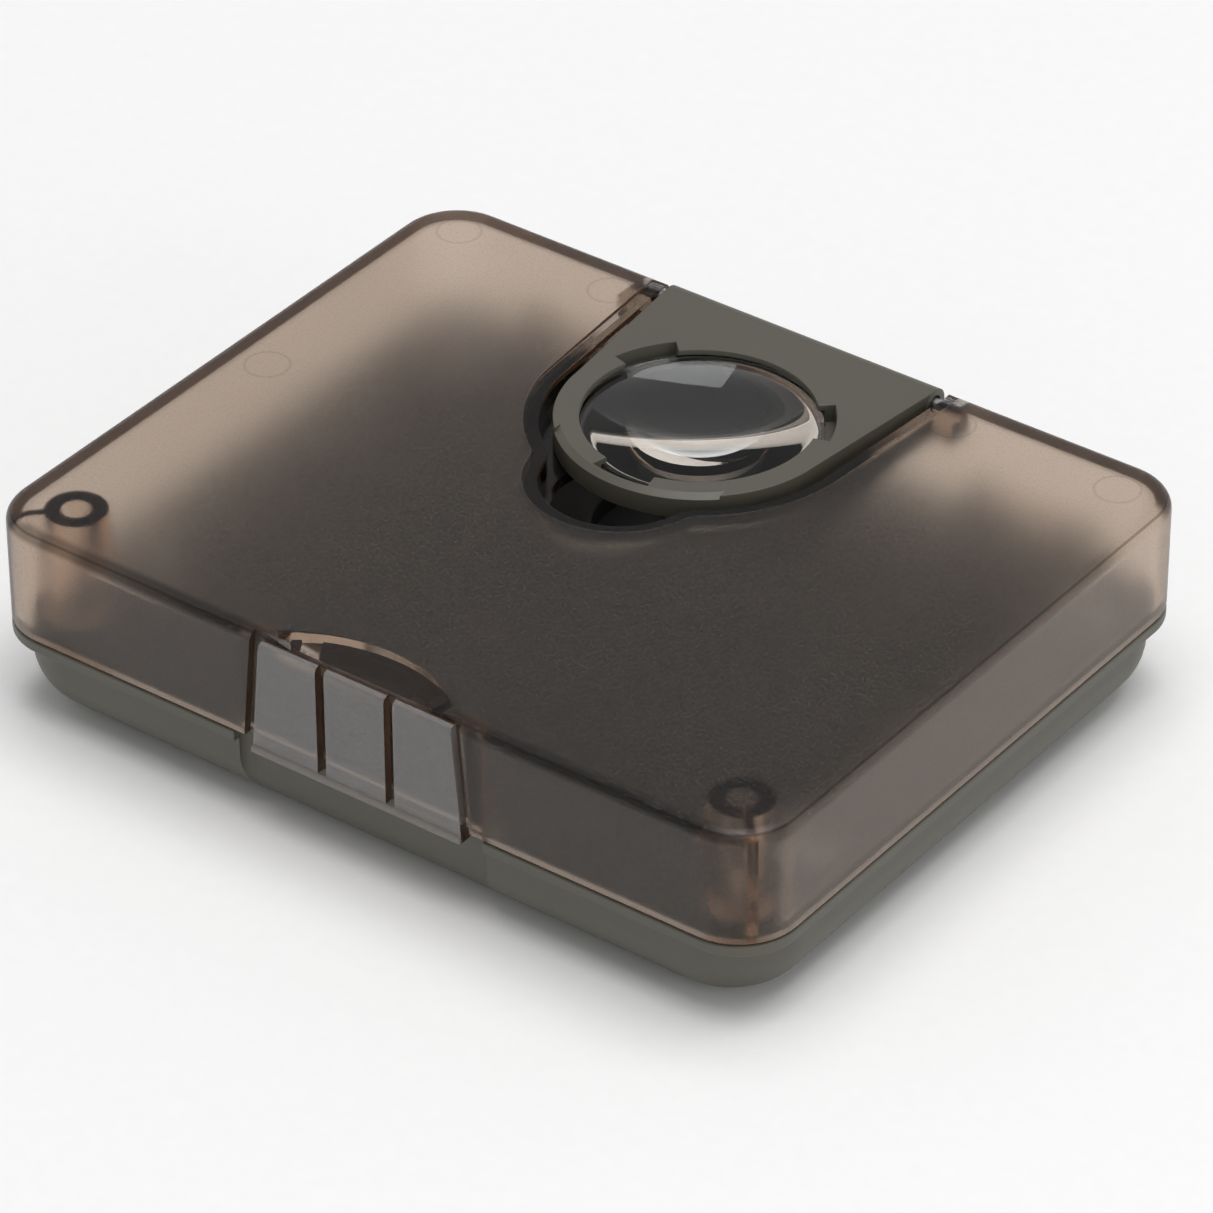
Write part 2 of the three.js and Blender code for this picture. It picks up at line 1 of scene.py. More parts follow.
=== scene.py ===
# %% [markdown]
# # A pocket demagnetizer with a smoke lid and a flip-up loupe
# The case is 120 mm wide. A frosted smoke lid turns on two pins at the back of an olive base, and a loupe lies in
# a pocket in the lid. Under the lid is a dark deck with the magnets below it. This script puts a finished surface
# on each of those pieces, piece by piece, the way a model maker would.

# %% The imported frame
import math

import bmesh
import bpy
from mathutils import Matrix, Vector


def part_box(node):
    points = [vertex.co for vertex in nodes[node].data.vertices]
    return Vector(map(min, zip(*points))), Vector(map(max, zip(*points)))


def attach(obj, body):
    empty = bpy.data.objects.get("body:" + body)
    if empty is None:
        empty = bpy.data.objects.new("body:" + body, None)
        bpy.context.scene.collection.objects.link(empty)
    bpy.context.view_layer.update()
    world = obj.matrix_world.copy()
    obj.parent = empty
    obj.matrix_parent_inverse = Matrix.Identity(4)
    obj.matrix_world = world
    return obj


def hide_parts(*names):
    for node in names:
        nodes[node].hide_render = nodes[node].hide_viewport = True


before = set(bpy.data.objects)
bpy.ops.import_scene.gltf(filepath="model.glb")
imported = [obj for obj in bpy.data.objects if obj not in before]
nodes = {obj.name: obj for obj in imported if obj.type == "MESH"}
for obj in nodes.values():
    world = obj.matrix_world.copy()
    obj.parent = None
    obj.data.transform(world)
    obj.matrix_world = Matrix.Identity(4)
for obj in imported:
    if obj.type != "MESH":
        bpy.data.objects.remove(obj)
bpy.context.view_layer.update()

# %% [markdown]
# ## Sizes
# Everything is drawn in millimetres about the middle of the case's outline, which is easy to check with a ruler.
# The middle itself, the outside faces and the lens's axis are read from the frame, so the pieces can't drift.

# %% Sizes in millimetres
MM = 0.001
GAP = 0.3

base_low, base_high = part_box("base_tray")
lid_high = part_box("lid_shell")[1]
lens_low, lens_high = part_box("loupe_lens")
arm_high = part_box("loupe_arm")[1]
pin_low, pin_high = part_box("loupe_pin")
hinge_low, hinge_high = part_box("hinge_pin_right")
boss_low, boss_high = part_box("lid_magnet_right")

HALF_X = base_high.x / MM
MIDDLE_Y = base_low.y + 48 * MM
HALF_Y = 48.0
CORNER = 8.5
LID_TOP = lid_high.z / MM
RIM_TOP = 12.6
LID_BOTTOM = RIM_TOP + GAP
ROOF_BOTTOM = LID_TOP - 2.0
ARM_TOP = arm_high.z / MM
ARM_BOTTOM = ARM_TOP - 3.4
LENS_Y = (lens_low.y + lens_high.y) / 2 / MM - MIDDLE_Y / MM
BOSS_X = (boss_low.x + boss_high.x) / 2 / MM
BOSS_Y = (boss_low.y + boss_high.y - 2 * MIDDLE_Y) / 2 / MM
PIN_Y = (pin_low.y + pin_high.y - 2 * MIDDLE_Y) / 2 / MM
PIN_Z = (pin_low.z + pin_high.z) / 2 / MM
HINGE_X = (hinge_low.x + hinge_high.x) / 2 / MM
HINGE_Y = (hinge_low.y + hinge_high.y - 2 * MIDDLE_Y) / 2 / MM
HINGE_Z = (hinge_low.z + hinge_high.z) / 2 / MM
print(f"lens axis at y {LENS_Y:.1f}, bosses at {BOSS_X:.1f}, {BOSS_Y:.1f}, lid hinge at {HINGE_Y:.1f}, {HINGE_Z:.2f}")


def spot(x, y, z):
    """A place in case millimetres, as a point in the frame's metres."""
    return Vector((x * MM, MIDDLE_Y + y * MM, z * MM))


# %% [markdown]
# ## Camera
# The camera looks down on the front right corner from a third of the way up, with a long lens, so that opposite
# edges stay nearly parallel.

# %% The camera
VIEW = {"azimuth": 36.614, "elevation": 34.822, "roll": -0.163, "distance": 0.868086}
AIM = {"right": 0.00135, "up": 0.009735}
FOCAL = 200.75


def add_camera():
    azimuth, elevation, roll = (math.radians(VIEW[key]) for key in ("azimuth", "elevation", "roll"))
    back = Vector((
        math.sin(azimuth) * math.cos(elevation), -math.cos(azimuth) * math.cos(elevation), math.sin(elevation),
    ))
    level = Vector((math.cos(azimuth), math.sin(azimuth), 0))
    upright = back.cross(level)
    right = math.cos(roll) * level + math.sin(roll) * upright
    up = math.cos(roll) * upright - math.sin(roll) * level
    camera = bpy.data.objects.new("camera", bpy.data.cameras.new("camera"))
    bpy.context.scene.collection.objects.link(camera)
    turn = Matrix((right, up, back)).transposed().to_4x4()
    camera.matrix_world = Matrix.Translation(VIEW["distance"] * back + AIM["right"] * right + AIM["up"] * up) @ turn
    camera.data.lens = FOCAL
    camera.data.sensor_width = 36
    camera.data.clip_end = 10
    bpy.context.scene.camera = camera
    return camera


add_camera()

# %% [markdown]
# ## Hand tools
# A few helpers stand for what a modeller does with the mouse: add a block or a rod at its size and place, bevel
# the edges that are picked, and join pieces or cut one with another. Each leaves the object's origin at the
# world's, with the place in the mesh.


# %% Blocks, rods and picked edges
def named(name):
    """Name what an operator has just added, and move its place into its mesh."""
    piece = bpy.context.object
    piece.name = piece.data.name = name
    bpy.ops.object.transform_apply(location=True, rotation=True, scale=True)
    return piece


def block(name, x, y, z):
    bpy.ops.object.select_all(action="DESELECT")
    middle = [(low + high) / 2 for low, high in (x, y, z)]
    bpy.ops.mesh.primitive_cube_add(size=1, location=spot(*middle))
    bpy.context.object.scale = [(high - low) * MM for low, high in (x, y, z)]
    return named(name)


def rod(name, radius, at, span, axis="Z", sides=64, top_radius=None):
    """A round bar along X or Z; at gives its other two places. With a top radius it is a cone."""
    bpy.ops.object.select_all(action="DESELECT")
    middle, length = (span[0] + span[1]) / 2, span[1] - span[0]
    place = spot(at[0], at[1], middle) if axis == "Z" else spot(middle, at[0], at[1])
    turn = (0, 0, 0) if axis == "Z" else (0, math.pi / 2, 0)
    bpy.ops.mesh.primitive_cone_add(
        vertices=sides, radius1=radius * MM, radius2=(top_radius or radius) * MM, depth=length * MM,
        location=place, rotation=turn,
    )
    return named(name)


def edit(piece, kind):
    """Go into edit mode on one piece, with nothing picked."""
    bpy.ops.object.select_all(action="DESELECT")
    piece.select_set(True)
    bpy.context.view_layer.objects.active = piece
    bpy.ops.object.mode_set(mode="EDIT")
    bpy.ops.mesh.select_mode(type=kind)
    bpy.ops.mesh.select_all(action="DESELECT")
    return bmesh.from_edit_mesh(piece.data)


def bevel(piece, wanted, width, segments=3):
    """Bevel the edges that wanted() picks, by a width in millimetres."""
    mesh = edit(piece, "EDGE")
    for edge in mesh.edges:
        edge.select_set(wanted(edge))
    bmesh.update_edit_mesh(piece.data)
    bpy.ops.mesh.bevel(offset=width * MM, offset_type="OFFSET", segments=segments, affect="EDGES")
    bpy.ops.object.mode_set(mode="OBJECT")
    return piece


def upright(edge):
    a, b = (vertex.co for vertex in edge.verts)
    return (a - b).xy.length < 0.01 * MM


def level(height):
    """Picks the edges that lie at one height."""
    return lambda edge: all(abs(vertex.co.z - height * MM) < 0.01 * MM for vertex in edge.verts)


def rounded_block(name, x, y, z, corner, top=0, bottom=0, corner_steps=14, edge_steps=6):
    piece = bevel(block(name, x, y, z), upright, corner, corner_steps)
    if top:
        bevel(piece, level(z[1]), top, edge_steps)
    if bottom:
        bevel(piece, level(z[0]), bottom, edge_steps)
    return piece


# %% [markdown]
# Joining and cutting use the Boolean modifier, applied at once, as a machinist takes material away or a moulder
# adds a rib. The tool is thrown away after use.


# %% Joining, cutting and smoothing
def combine(piece, tool, operation):
    modifier = piece.modifiers.new("combine", "BOOLEAN")
    modifier.operation = operation
    modifier.object = tool
    modifier.solver = "MANIFOLD"
    bpy.ops.object.select_all(action="DESELECT")
    piece.select_set(True)
    bpy.context.view_layer.objects.active = piece
    bpy.ops.object.modifier_apply(modifier=modifier.name)
    bpy.data.objects.remove(tool)
    return piece


def join(piece, *tools):
    for tool in tools:
        combine(piece, tool, "UNION")
    return piece


def cut(piece, *tools):
    for tool in tools:
        combine(piece, tool, "DIFFERENCE")
    return piece


def keep_inside(piece, tool):
    return combine(piece, tool, "INTERSECT")


def smooth(piece, angle=32):
    """Shade curved faces smooth, with flat faces kept flat by weighted normals."""
    bpy.ops.object.select_all(action="DESELECT")
    piece.select_set(True)
    bpy.context.view_layer.objects.active = piece
    bpy.ops.object.shade_smooth_by_angle(angle=math.radians(angle))
    weighted = piece.modifiers.new("flat faces", "WEIGHTED_NORMAL")
    weighted.keep_sharp = True
    weighted.weight = 100
    bpy.ops.object.modifier_apply(modifier=weighted.name)
    return piece


def copy_of(piece, name):
    twin = piece.copy()
    twin.data = piece.data.copy()
    twin.name = twin.data.name = name
    bpy.context.scene.collection.objects.link(twin)
    return twin


def done(piece, body, slot, finish, *replaced):
    """Give a finished piece its material, and tie it to the frame."""
    piece.data.materials.clear()
    piece.data.materials.append(finish)
    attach(piece, body)
    if replaced:
        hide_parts(*replaced)
    print(f"{piece.name}: {len(piece.data.polygons)} faces on {body}")
    return piece


# %% [markdown]
# ## Writing finishes
# A finish is a node tree. To keep the sums readable, a small class wraps a socket, so that `1 - mask` or
# `a * b` adds the Math node by itself. Every other node comes from `node`, which takes its settings and sockets.


# %% The shader helpers
class Wire:
    """One output socket of a finish, which can be added, subtracted and multiplied."""

    def __init__(self, finish, socket):
        self.finish, self.socket = finish, socket

    def sum(self, operation, a, b=0.0, clamp=False):
        settings = {"operation": operation, "use_clamp": clamp}
        return self.finish.node("ShaderNodeMath", settings, {0: a, 1: b})["Value"]

    def __add__(self, other):
        return self.sum("ADD", self, other)

    def __sub__(self, other):
        return self.sum("SUBTRACT", self, other)

    def __mul__(self, other):
        return self.sum("MULTIPLY", self, other)

    def __rsub__(self, other):
        return self.sum("SUBTRACT", other, self)

    __radd__, __rmul__ = __add__, __mul__

    def band(self, low, high, to_low, to_high):
        settings = {"interpolation_type": "SMOOTHSTEP", "clamp": True}
        sockets = {0: self, 1: low, 2: high, 3: to_low, 4: to_high}
        return self.finish.node("ShaderNodeMapRange", settings, sockets)["Result"]


class Finish:
    """A material with one Principled shader, built up node by node."""

    def __init__(self, name, colour, roughness, **constants):
        self.material = bpy.data.materials.new(name)
        self.material.use_nodes = True
        self.tree = self.material.node_tree
        self.shader = self.tree.nodes["Principled BSDF"]
        self.shader.inputs["Base Color"].default_value = (*colour, 1)
        self.shader.inputs["Roughness"].default_value = roughness
        for label, value in constants.items():
            self.shader.inputs[label.replace("_", " ")].default_value = value
        self.place = self.node("ShaderNodeTexCoord")["Object"]

    def node(self, kind, settings=None, sockets=None):
        """Adds a node and returns its outputs as wires, by name."""
        made = self.tree.nodes.new(kind)
        for label, value in (settings or {}).items():
            setattr(made, label, value)
        for key, value in (sockets or {}).items():
            if isinstance(value, Wire):
                self.tree.links.new(value.socket, made.inputs[key])
            else:
                made.inputs[key].default_value = value
        return {output.name: Wire(self, output) for output in made.outputs if output.enabled}

    def noise(self, scale, detail=2.0, roughness=0.5):
        sockets = {"Vector": self.place, "Scale": scale, "Detail": detail, "Roughness": roughness}
        return self.node("ShaderNodeTexNoise", {}, sockets)["Fac"]

    def axes(self):
        return self.node("ShaderNodeSeparateXYZ", {}, {0: self.place})

    def mix(self, factor, a, b):
        """Blends two colours, each a wire or three numbers."""
        full = [value if isinstance(value, Wire) else (*value, 1) for value in (a, b)]
        sockets = {0: factor, 6: full[0], 7: full[1]}
        return self.node("ShaderNodeMix", {"data_type": "RGBA"}, sockets)["Result"]

    def drive(self, label, wire):
        self.tree.links.new(wire.socket, self.shader.inputs[label])

    def relief(self, height, distance, strength=1.0):
        """Turns a height from 0 to 1 into a bump this many metres deep."""
        sockets = {"Height": height, "Distance": distance, "Strength": strength}
        bump = self.node("ShaderNodeBump", {}, sockets)
        self.drive("Normal", bump["Normal"])


# %% [markdown]
# ## Finishes
# The lid is smoke polycarbonate, tinted all the way through, so that a thick wall seen edge on goes nearly black.
# A volume absorption does that, with the light left after 1 mm as its measure. Outside, a spark-eroded mould has
# frosted it: what touches the lid is sharp, and the deck far below is only a haze. Inside, and in the shallow step
# round the loupe, the mould was polished. The grip's pads get a partly diffuse, lighter surface: painted light for
# the brightness that light from below and behind gives them. The small round marks are where ejector pins pushed
# the lid off its mould. Over the front wall's rounded top edge, in the grooves and strips beside the pads, and in
# the step and seat round the loupe's pocket, the colour is painted dark: painted shade.

# %% Smoke plastic
ABSORBED_PER_METRE = (60, 104, 146)
EJECTOR_MARKS = [(-52.3, 41.2), (-27.2, 41.2), (27.2, 41.2), (52.3, 41.2), (-52.3, 0.4)]
MARK_RADIUS = 3.0


def tinted_through(finish):
    """Adds the absorption inside the plastic."""
    density = max(ABSORBED_PER_METRE)
    colour = [1 - each / density for each in ABSORBED_PER_METRE]
    absorption = finish.tree.nodes.new("ShaderNodeVolumeAbsorption")
    absorption.inputs["Color"].default_value = (*colour, 1)
    absorption.inputs["Density"].default_value = density
    finish.tree.links.new(absorption.outputs["Volume"], finish.tree.nodes["Material Output"].inputs["Volume"])


def ejector_rings(finish):
    """1 on the thin rings that the ejector pins left, else 0."""
    axes = finish.axes()
    rings = 0.0
    for x, y in EJECTOR_MARKS:
        place = spot(x, y, 0)
        east, north = axes["X"] - place.x, axes["Y"] - place.y
        across = east * east + north * north
        away = across.sum("SQRT", across) - MARK_RADIUS * MM
        rings = away.sum("ABSOLUTE", away).band(0.08 * MM, 0.3 * MM, 1.0, 0.0) + rings
    return rings


def smoke_finish():
    """One plastic, frosted or polished by the frost attribute, with painted light on pads and painted shade on deep
    faces.
    """
    # A specular tint below one dims the lid's reflections: painted shade, so the top stays dark under a brighter sky.
    finish = Finish(
        "smoke polycarbonate", (0.94, 0.93, 0.92), 0.3, Transmission_Weight=1.0, IOR=1.5,
        Specular_Tint=(0.45, 0.46, 0.48, 1),
    )
    tinted_through(finish)
    # frost picks the frosted outside; pad carries painted light, and deep carries painted shade.
    frost, pad, deep = (
        finish.node("ShaderNodeAttribute", {"attribute_name": name})["Fac"] for name in ("frost", "pad", "deep")
    )
    rings = ejector_rings(finish) * frost
    axes, wall_top = finish.axes(), spot(0, -HALF_Y, LID_TOP)
    # Painted shade: a dark band over the front wall's rounded top edge, added to deep.
    edge_shade_band = (axes["Y"] - wall_top.y).band(1.2 * MM, 2.6 * MM, 1.0, 0.0)
    deep = (axes["Z"] - wall_top.z).band(-1.7 * MM, -0.9 * MM, 0.0, 0.8) * edge_shade_band + deep
    cloud = finish.noise(35, 3)
    grain = finish.noise(2900, 1, 0.6)
    speckle = grain.band(0.35, 0.7, 0.0, 1.0)
    tint = finish.mix(speckle * frost, (0.97, 0.965, 0.96), (0.86, 0.85, 0.84))
    # The ejector rings are real marks; deep and the edge band darken the colour as painted shade.
    finish.drive("Base Color", finish.mix(rings * 0.3 + deep, tint, (0.10, 0.10, 0.10)))
    frosting = grain * 0.16 + cloud * 0.05 + 0.17
    finish.drive("Roughness", frosting * frost + cloud * 0.04 + 0.07)
    finish.relief(grain * frost, 0.014 * MM, 0.6)
    cloudy = finish.tree.nodes.new("ShaderNodeBsdfPrincipled")
    cloudy.inputs["Roughness"].default_value = 0.5
    # This colour serves both the frosted grain's scatter and the painted light on the pads.
    veil_and_pad_light = finish.mix(grain, (0.25, 0.25, 0.255), (0.40, 0.395, 0.39))
    finish.tree.links.new(veil_and_pad_light.socket, cloudy.inputs["Base Color"])
    share = finish.tree.nodes.new("ShaderNodeMixShader")
    spark = grain.band(0.56, 0.68, 0.0, 0.08)
    # pad * 0.4 blends the lighter diffuse onto the pads as painted light; spark * frost is the frosted grain's
    # scatter.
    finish.tree.links.new((pad * 0.4 + spark * frost).socket, share.inputs[0])
    finish.tree.links.new(finish.shader.outputs[0], share.inputs[1])
    finish.tree.links.new(cloudy.outputs[0], share.inputs[2])
    finish.tree.links.new(share.outputs[0], finish.tree.nodes["Material Output"].inputs["Surface"])
    return finish.material


SMOKE = smoke_finish()
print("smoke plastic with", len(EJECTOR_MARKS), "ejector marks")

# %% [markdown]
# The base and the loupe's arm are opaque ABS in a drab olive. Its mould is finely textured too, and the colour
# varies a little where the plastic flowed. The deck is the same plastic in near black, with a coarser texture.


# %% Opaque plastics
def moulded_finish(name, dark, light, roughness, grain_scale, depth, shine=0.5):
    finish = Finish(name, light, roughness, IOR=1.52, Specular_IOR_Level=shine)
    flow = finish.noise(60, 4, 0.6)
    grain = finish.noise(grain_scale, 2, 0.65)
    finish.drive("Base Color", finish.mix(flow * 0.7 + grain * 0.3, dark, light))
    finish.drive("Roughness", grain * 0.18 + (roughness - 0.09))
    finish.relief(grain, depth * MM, 0.5)
    return finish.material


OLIVE = moulded_finish("olive abs", (0.070, 0.066, 0.050), (0.094, 0.088, 0.067), 0.46, 3600, 0.012)
DARK = moulded_finish("near black abs", (0.005, 0.0055, 0.006), (0.009, 0.0095, 0.0105), 0.6, 2600, 0.015, 0.15)
print("opaque plastics made")

# %% [markdown]
# The lens is clear and polished. The magnets are nickel plated, the pins and screws are ground steel with fine
# turning marks, and the feet are matt rubber.


# %% Lens, metals and rubber
def lens_finish():
    finish = Finish("clear lens", (0.97, 0.985, 0.98), 0.0, Transmission_Weight=1.0, IOR=1.49)
    smear = finish.noise(180, 3)
    finish.drive("Roughness", smear.band(0.55, 0.8, 0.004, 0.03))
    return finish.material


def metal_finish(name, colour, roughness, scale, depth):
    finish = Finish(name, colour, roughness, Metallic=1.0)
    axes = finish.axes()
    stretched = finish.node("ShaderNodeCombineXYZ", {}, {0: axes["X"] * 0.08, 1: axes["Y"], 2: axes["Z"]})["Vector"]
    sockets = {"Vector": stretched, "Scale": scale, "Detail": 3.0}
    scratches = finish.node("ShaderNodeTexNoise", {}, sockets)["Fac"]
    finish.drive("Roughness", scratches * 0.25 + (roughness - 0.12))
    darker = tuple(0.8 * part for part in colour)
    finish.drive("Base Color", finish.mix(scratches, darker, colour))
    finish.relief(scratches, depth * MM, 0.3)
    return finish.material


LENS = lens_finish()
NICKEL = metal_finish("nickel plate", (0.70, 0.68, 0.64), 0.24, 900, 0.004)
STEEL = metal_finish("ground steel", (0.56, 0.56, 0.57), 0.34, 2400, 0.008)
RUBBER = moulded_finish("foot rubber", (0.012, 0.012, 0.012), (0.022, 0.022, 0.022), 0.8, 1800, 0.05)
print("lens, nickel, steel and rubber made")

# %% [markdown]
# ## Shapes that several pieces share
# The loupe's arm is a ring with straight flanks that widen to its hinge. A skin stretched round a disc and a bar
# gives exactly that. The pocket it lies in is the same shape a little larger, with a bulge for a fingertip in
# front of it, and two round fillets that lead from one into the other.

# %% Flanked disc, pocket and sector
RING = 18.8
REAR_HALF = 21.2
POCKET = {"margin": 1.8, "rear_margin": 1.2, "bulge": 10.4, "tuck": 3.4, "blend": 6.0}
BULGE_Y = LENS_Y - (RING + POCKET["margin"] - POCKET["tuck"])
BAR = 0.4


def flanked_disc(name, radius, rear_half, rear_y, z, sides=192):
    """A disc about the lens's axis, with straight flanks out to a bar behind it."""
    bar = block("bar", (-rear_half, rear_half), (rear_y - BAR, rear_y), z)
    disc = rod(name, radius, (0, LENS_Y), z, sides=sides)
    bar.select_set(True)
    bpy.ops.object.join()
    bpy.ops.object.mode_set(mode="EDIT")
    bpy.ops.mesh.select_all(action="SELECT")
    bpy.ops.mesh.convex_hull()
    bpy.ops.mesh.select_all(action="SELECT")
    bpy.ops.mesh.dissolve_limited(angle_limit=math.radians(0.5))
    bpy.ops.object.mode_set(mode="OBJECT")
    return disc


def kite(name, front, right, rear, left, z):
    """A four-cornered plate: a plane whose corners are moved, then raised."""
    bpy.ops.object.select_all(action="DESELECT")
    bpy.ops.mesh.primitive_plane_add(size=1)
    piece = named(name)
    mesh = edit(piece, "FACE")
    mesh.verts.ensure_lookup_table()
    for vertex, corner in zip(mesh.verts, (front, right, left, rear)):
        vertex.co = spot(*corner, z[0])
    bmesh.update_edit_mesh(piece.data)
    bpy.ops.mesh.select_all(action="SELECT")
    bpy.ops.mesh.extrude_region_move(TRANSFORM_OT_translate={"value": (0, 0, (z[1] - z[0]) * MM)})
    bpy.ops.mesh.select_all(action="SELECT")
    bpy.ops.mesh.normals_make_consistent(inside=False)
    bpy.ops.object.mode_set(mode="OBJECT")
    return piece


def pocket_shape(name, grow, z, rear):
    """The pocket's outline grown all round, between two heights, and back to a rear face."""
    ring = RING + POCKET["margin"] + grow
    rear_half = REAR_HALF + POCKET["rear_margin"] + grow
    bulge, blend = POCKET["bulge"] + grow, POCKET["blend"] - grow
    squares = (bulge + blend) ** 2 - (ring + blend) ** 2 + LENS_Y ** 2 - BULGE_Y ** 2
    blend_y = squares / (2 * (LENS_Y - BULGE_Y))
    blend_x = math.sqrt((bulge + blend) ** 2 - (blend_y - BULGE_Y) ** 2)
    neck = kite("neck", (0, BULGE_Y), (blend_x, blend_y), (0, LENS_Y), (-blend_x, blend_y), z)
    for side in (-1, 1):
        cut(neck, rod("blend", blend, (side * blend_x, blend_y), (z[0] - 1, z[1] + 1), sides=128))
    shape = flanked_disc(name, ring, rear_half, HALF_Y - 1, z)
    join(shape, rod("bulge", bulge, (0, BULGE_Y), z, sides=128), neck)
    return join(shape, block("rear", (-rear_half, rear_half), (HALF_Y - 1.2, rear), z))


def sector(name, radii, z, angle, half_angle):
    """A stretch of a ring about the lens's axis: an upright plane swung round it."""
    bpy.ops.object.select_all(action="DESELECT")
    middle = spot((radii[0] + radii[1]) / 2, LENS_Y, (z[0] + z[1]) / 2)
    bpy.ops.mesh.primitive_plane_add(size=1, location=middle, rotation=(math.pi / 2, 0, 0))
    bpy.context.object.scale = ((radii[1] - radii[0]) * MM, (z[1] - z[0]) * MM, 1)
    piece = named(name)
    edit(piece, "FACE")
    bpy.ops.mesh.select_all(action="SELECT")
    pivot = spot(0, LENS_Y, 0)
    # Both operators turn clockwise about Z, so the angles are negative.
    start, sweep = math.radians(angle - half_angle), math.radians(2 * half_angle)
    bpy.ops.transform.rotate(value=-start, orient_axis="Z", center_override=pivot)
    bpy.ops.mesh.spin(steps=10, angle=-sweep, center=pivot, axis=(0, 0, 1))
    bpy.ops.mesh.select_all(action="SELECT")
    bpy.ops.mesh.remove_doubles(threshold=0.001 * MM)
    bpy.ops.mesh.normals_make_consistent(inside=False)
    bpy.ops.object.mode_set(mode="OBJECT")
    return piece


def crisp(edge):
    """True of a real edge, where two faces meet at an angle."""
    return len(edge.link_faces) == 2 and edge.calc_face_angle(0) > math.radians(30)


# %% [markdown]
# The finger recess under the grip starts as a straight wall and leans in towards the bottom, so that a fingertip
# finds the lid's lip. Grown by a wall's thickness, the same shape keeps the plastic behind it.

# %% The finger recess
RECESS = {"half": 19.3, "face": -45.6, "knee": 2.5, "foot": -39.0, "knee_round": 3.5, "end_round": 1.6}


def finger_recess(name, grow=0.0):
    half, face = RECESS["half"] + grow, RECESS["face"] + grow
    core = block("core", (-2 * half, 2 * half), (face, -20), (-1, 18))
    edit(core, "FACE")
    bpy.ops.mesh.select_all(action="SELECT")
    lean = Vector((0, -RECESS["knee"], -(RECESS["foot"] - RECESS["face"]))).normalized()
    knee = spot(0, face, RECESS["knee"])
    bpy.ops.mesh.bisect(plane_co=knee, plane_no=lean, use_fill=True, clear_outer=True)
    bpy.ops.object.mode_set(mode="OBJECT")
    bevel(
        core,
        lambda edge: all((vertex.co - knee).yz.length < 0.05 * MM for vertex in edge.verts),
        RECESS["knee_round"], 16,
    )
    hollow = cut(block(name, (-half, half), (-54, -22), (-0.5, 17)), core)
    corner_x = half * MM
    front_y = spot(0, -50, 0).y
    bevel(
        hollow,
        lambda edge: crisp(edge)
        and all(abs(abs(vertex.co.x) - corner_x) < 0.01 * MM and vertex.co.y > front_y for vertex in edge.verts)
        and all(vertex.co.z > -0.4 * MM for vertex in edge.verts),
        RECESS["end_round"], 6,
    )
    return hollow


# %% [markdown]
# ## Base
# The base is one moulding: a tray with a flat rim round it, posts for the deck's screws and for the catch
# magnets, and ears for the hinge. The tray's corners and its bottom edge are well rounded, so it is drawn as a
# block whose upright edges are bevelled first and whose bottom edge is bevelled after.

# %% The olive base
BASE_BOTTOM = 0.6
FLOOR_TOP = 2.6
RIM_LOW = 11.0
POST_TOP = 9.7
SCREWS = [(-50.5, -24), (-50.5, 38), (50.5, -24), (50.5, 38)]
FEET = [(-44, -32), (44, -32), (-44, 32), (44, 32)]
EARS = [(HINGE_X - 10, HINGE_X - 5), (HINGE_X + 5, HINGE_X + 10)]
KNUCKLE = 2.4
PIN_BORE = 1.3


def both_sides(span):
    return [tuple(sorted((side * span[0], side * span[1]))) for side in (-1, 1)]


def base_piece():
    base = rounded_block("olive_base", (-59, 59), (-47, 47), (BASE_BOTTOM, RIM_TOP), 11, bottom=8, edge_steps=12)
    outline = ((-HALF_X, HALF_X), (-HALF_Y, HALF_Y), (RIM_LOW, RIM_TOP))
    rim = rounded_block("rim", *outline, CORNER, top=0.35, bottom=0.3)
    join(base, rim)
    outside = copy_of(base, "outside")
    cavity = rounded_block("cavity", (-57, 57), (-45, 45), (FLOOR_TOP, RIM_TOP + 3), 9, bottom=6)
    cut(base, cut(cavity, finger_recess("recess wall", 2)))
    posts = [(3.2, place) for place in SCREWS] + [(3.8, (side * BOSS_X, BOSS_Y)) for side in (-1, 1)]
    for radius, place in posts:
        post = rod("post", radius, place, (BASE_BOTTOM + 0.5, POST_TOP), sides=48)
        join(base, keep_inside(post, copy_of(outside, "outside copy")))
    bpy.data.objects.remove(outside)
    for ear in EARS:
        for span in both_sides(ear):
            knuckle = rod("ear", KNUCKLE, (HINGE_Y, HINGE_Z), span, axis="X", sides=48)
            bevel(knuckle, lambda edge: abs(edge.verts[0].co.x - edge.verts[1].co.x) < 0.01 * MM, 0.3, 3)
            join(base, knuckle, block("web", span, (45, HINGE_Y), (HINGE_Z - KNUCKLE, RIM_TOP)))
    cut(base, finger_recess("recess"))
    return base


base_object = base_piece()
print("base", len(base_object.data.vertices), "points")

# %% [markdown]
# Then the holes: blind bores for the screws and the magnets, shallow pockets for the feet, and room for the lid's
# knuckle between the ears. The rim's cut ends beside the grip get a small round, as a mould's corner has.


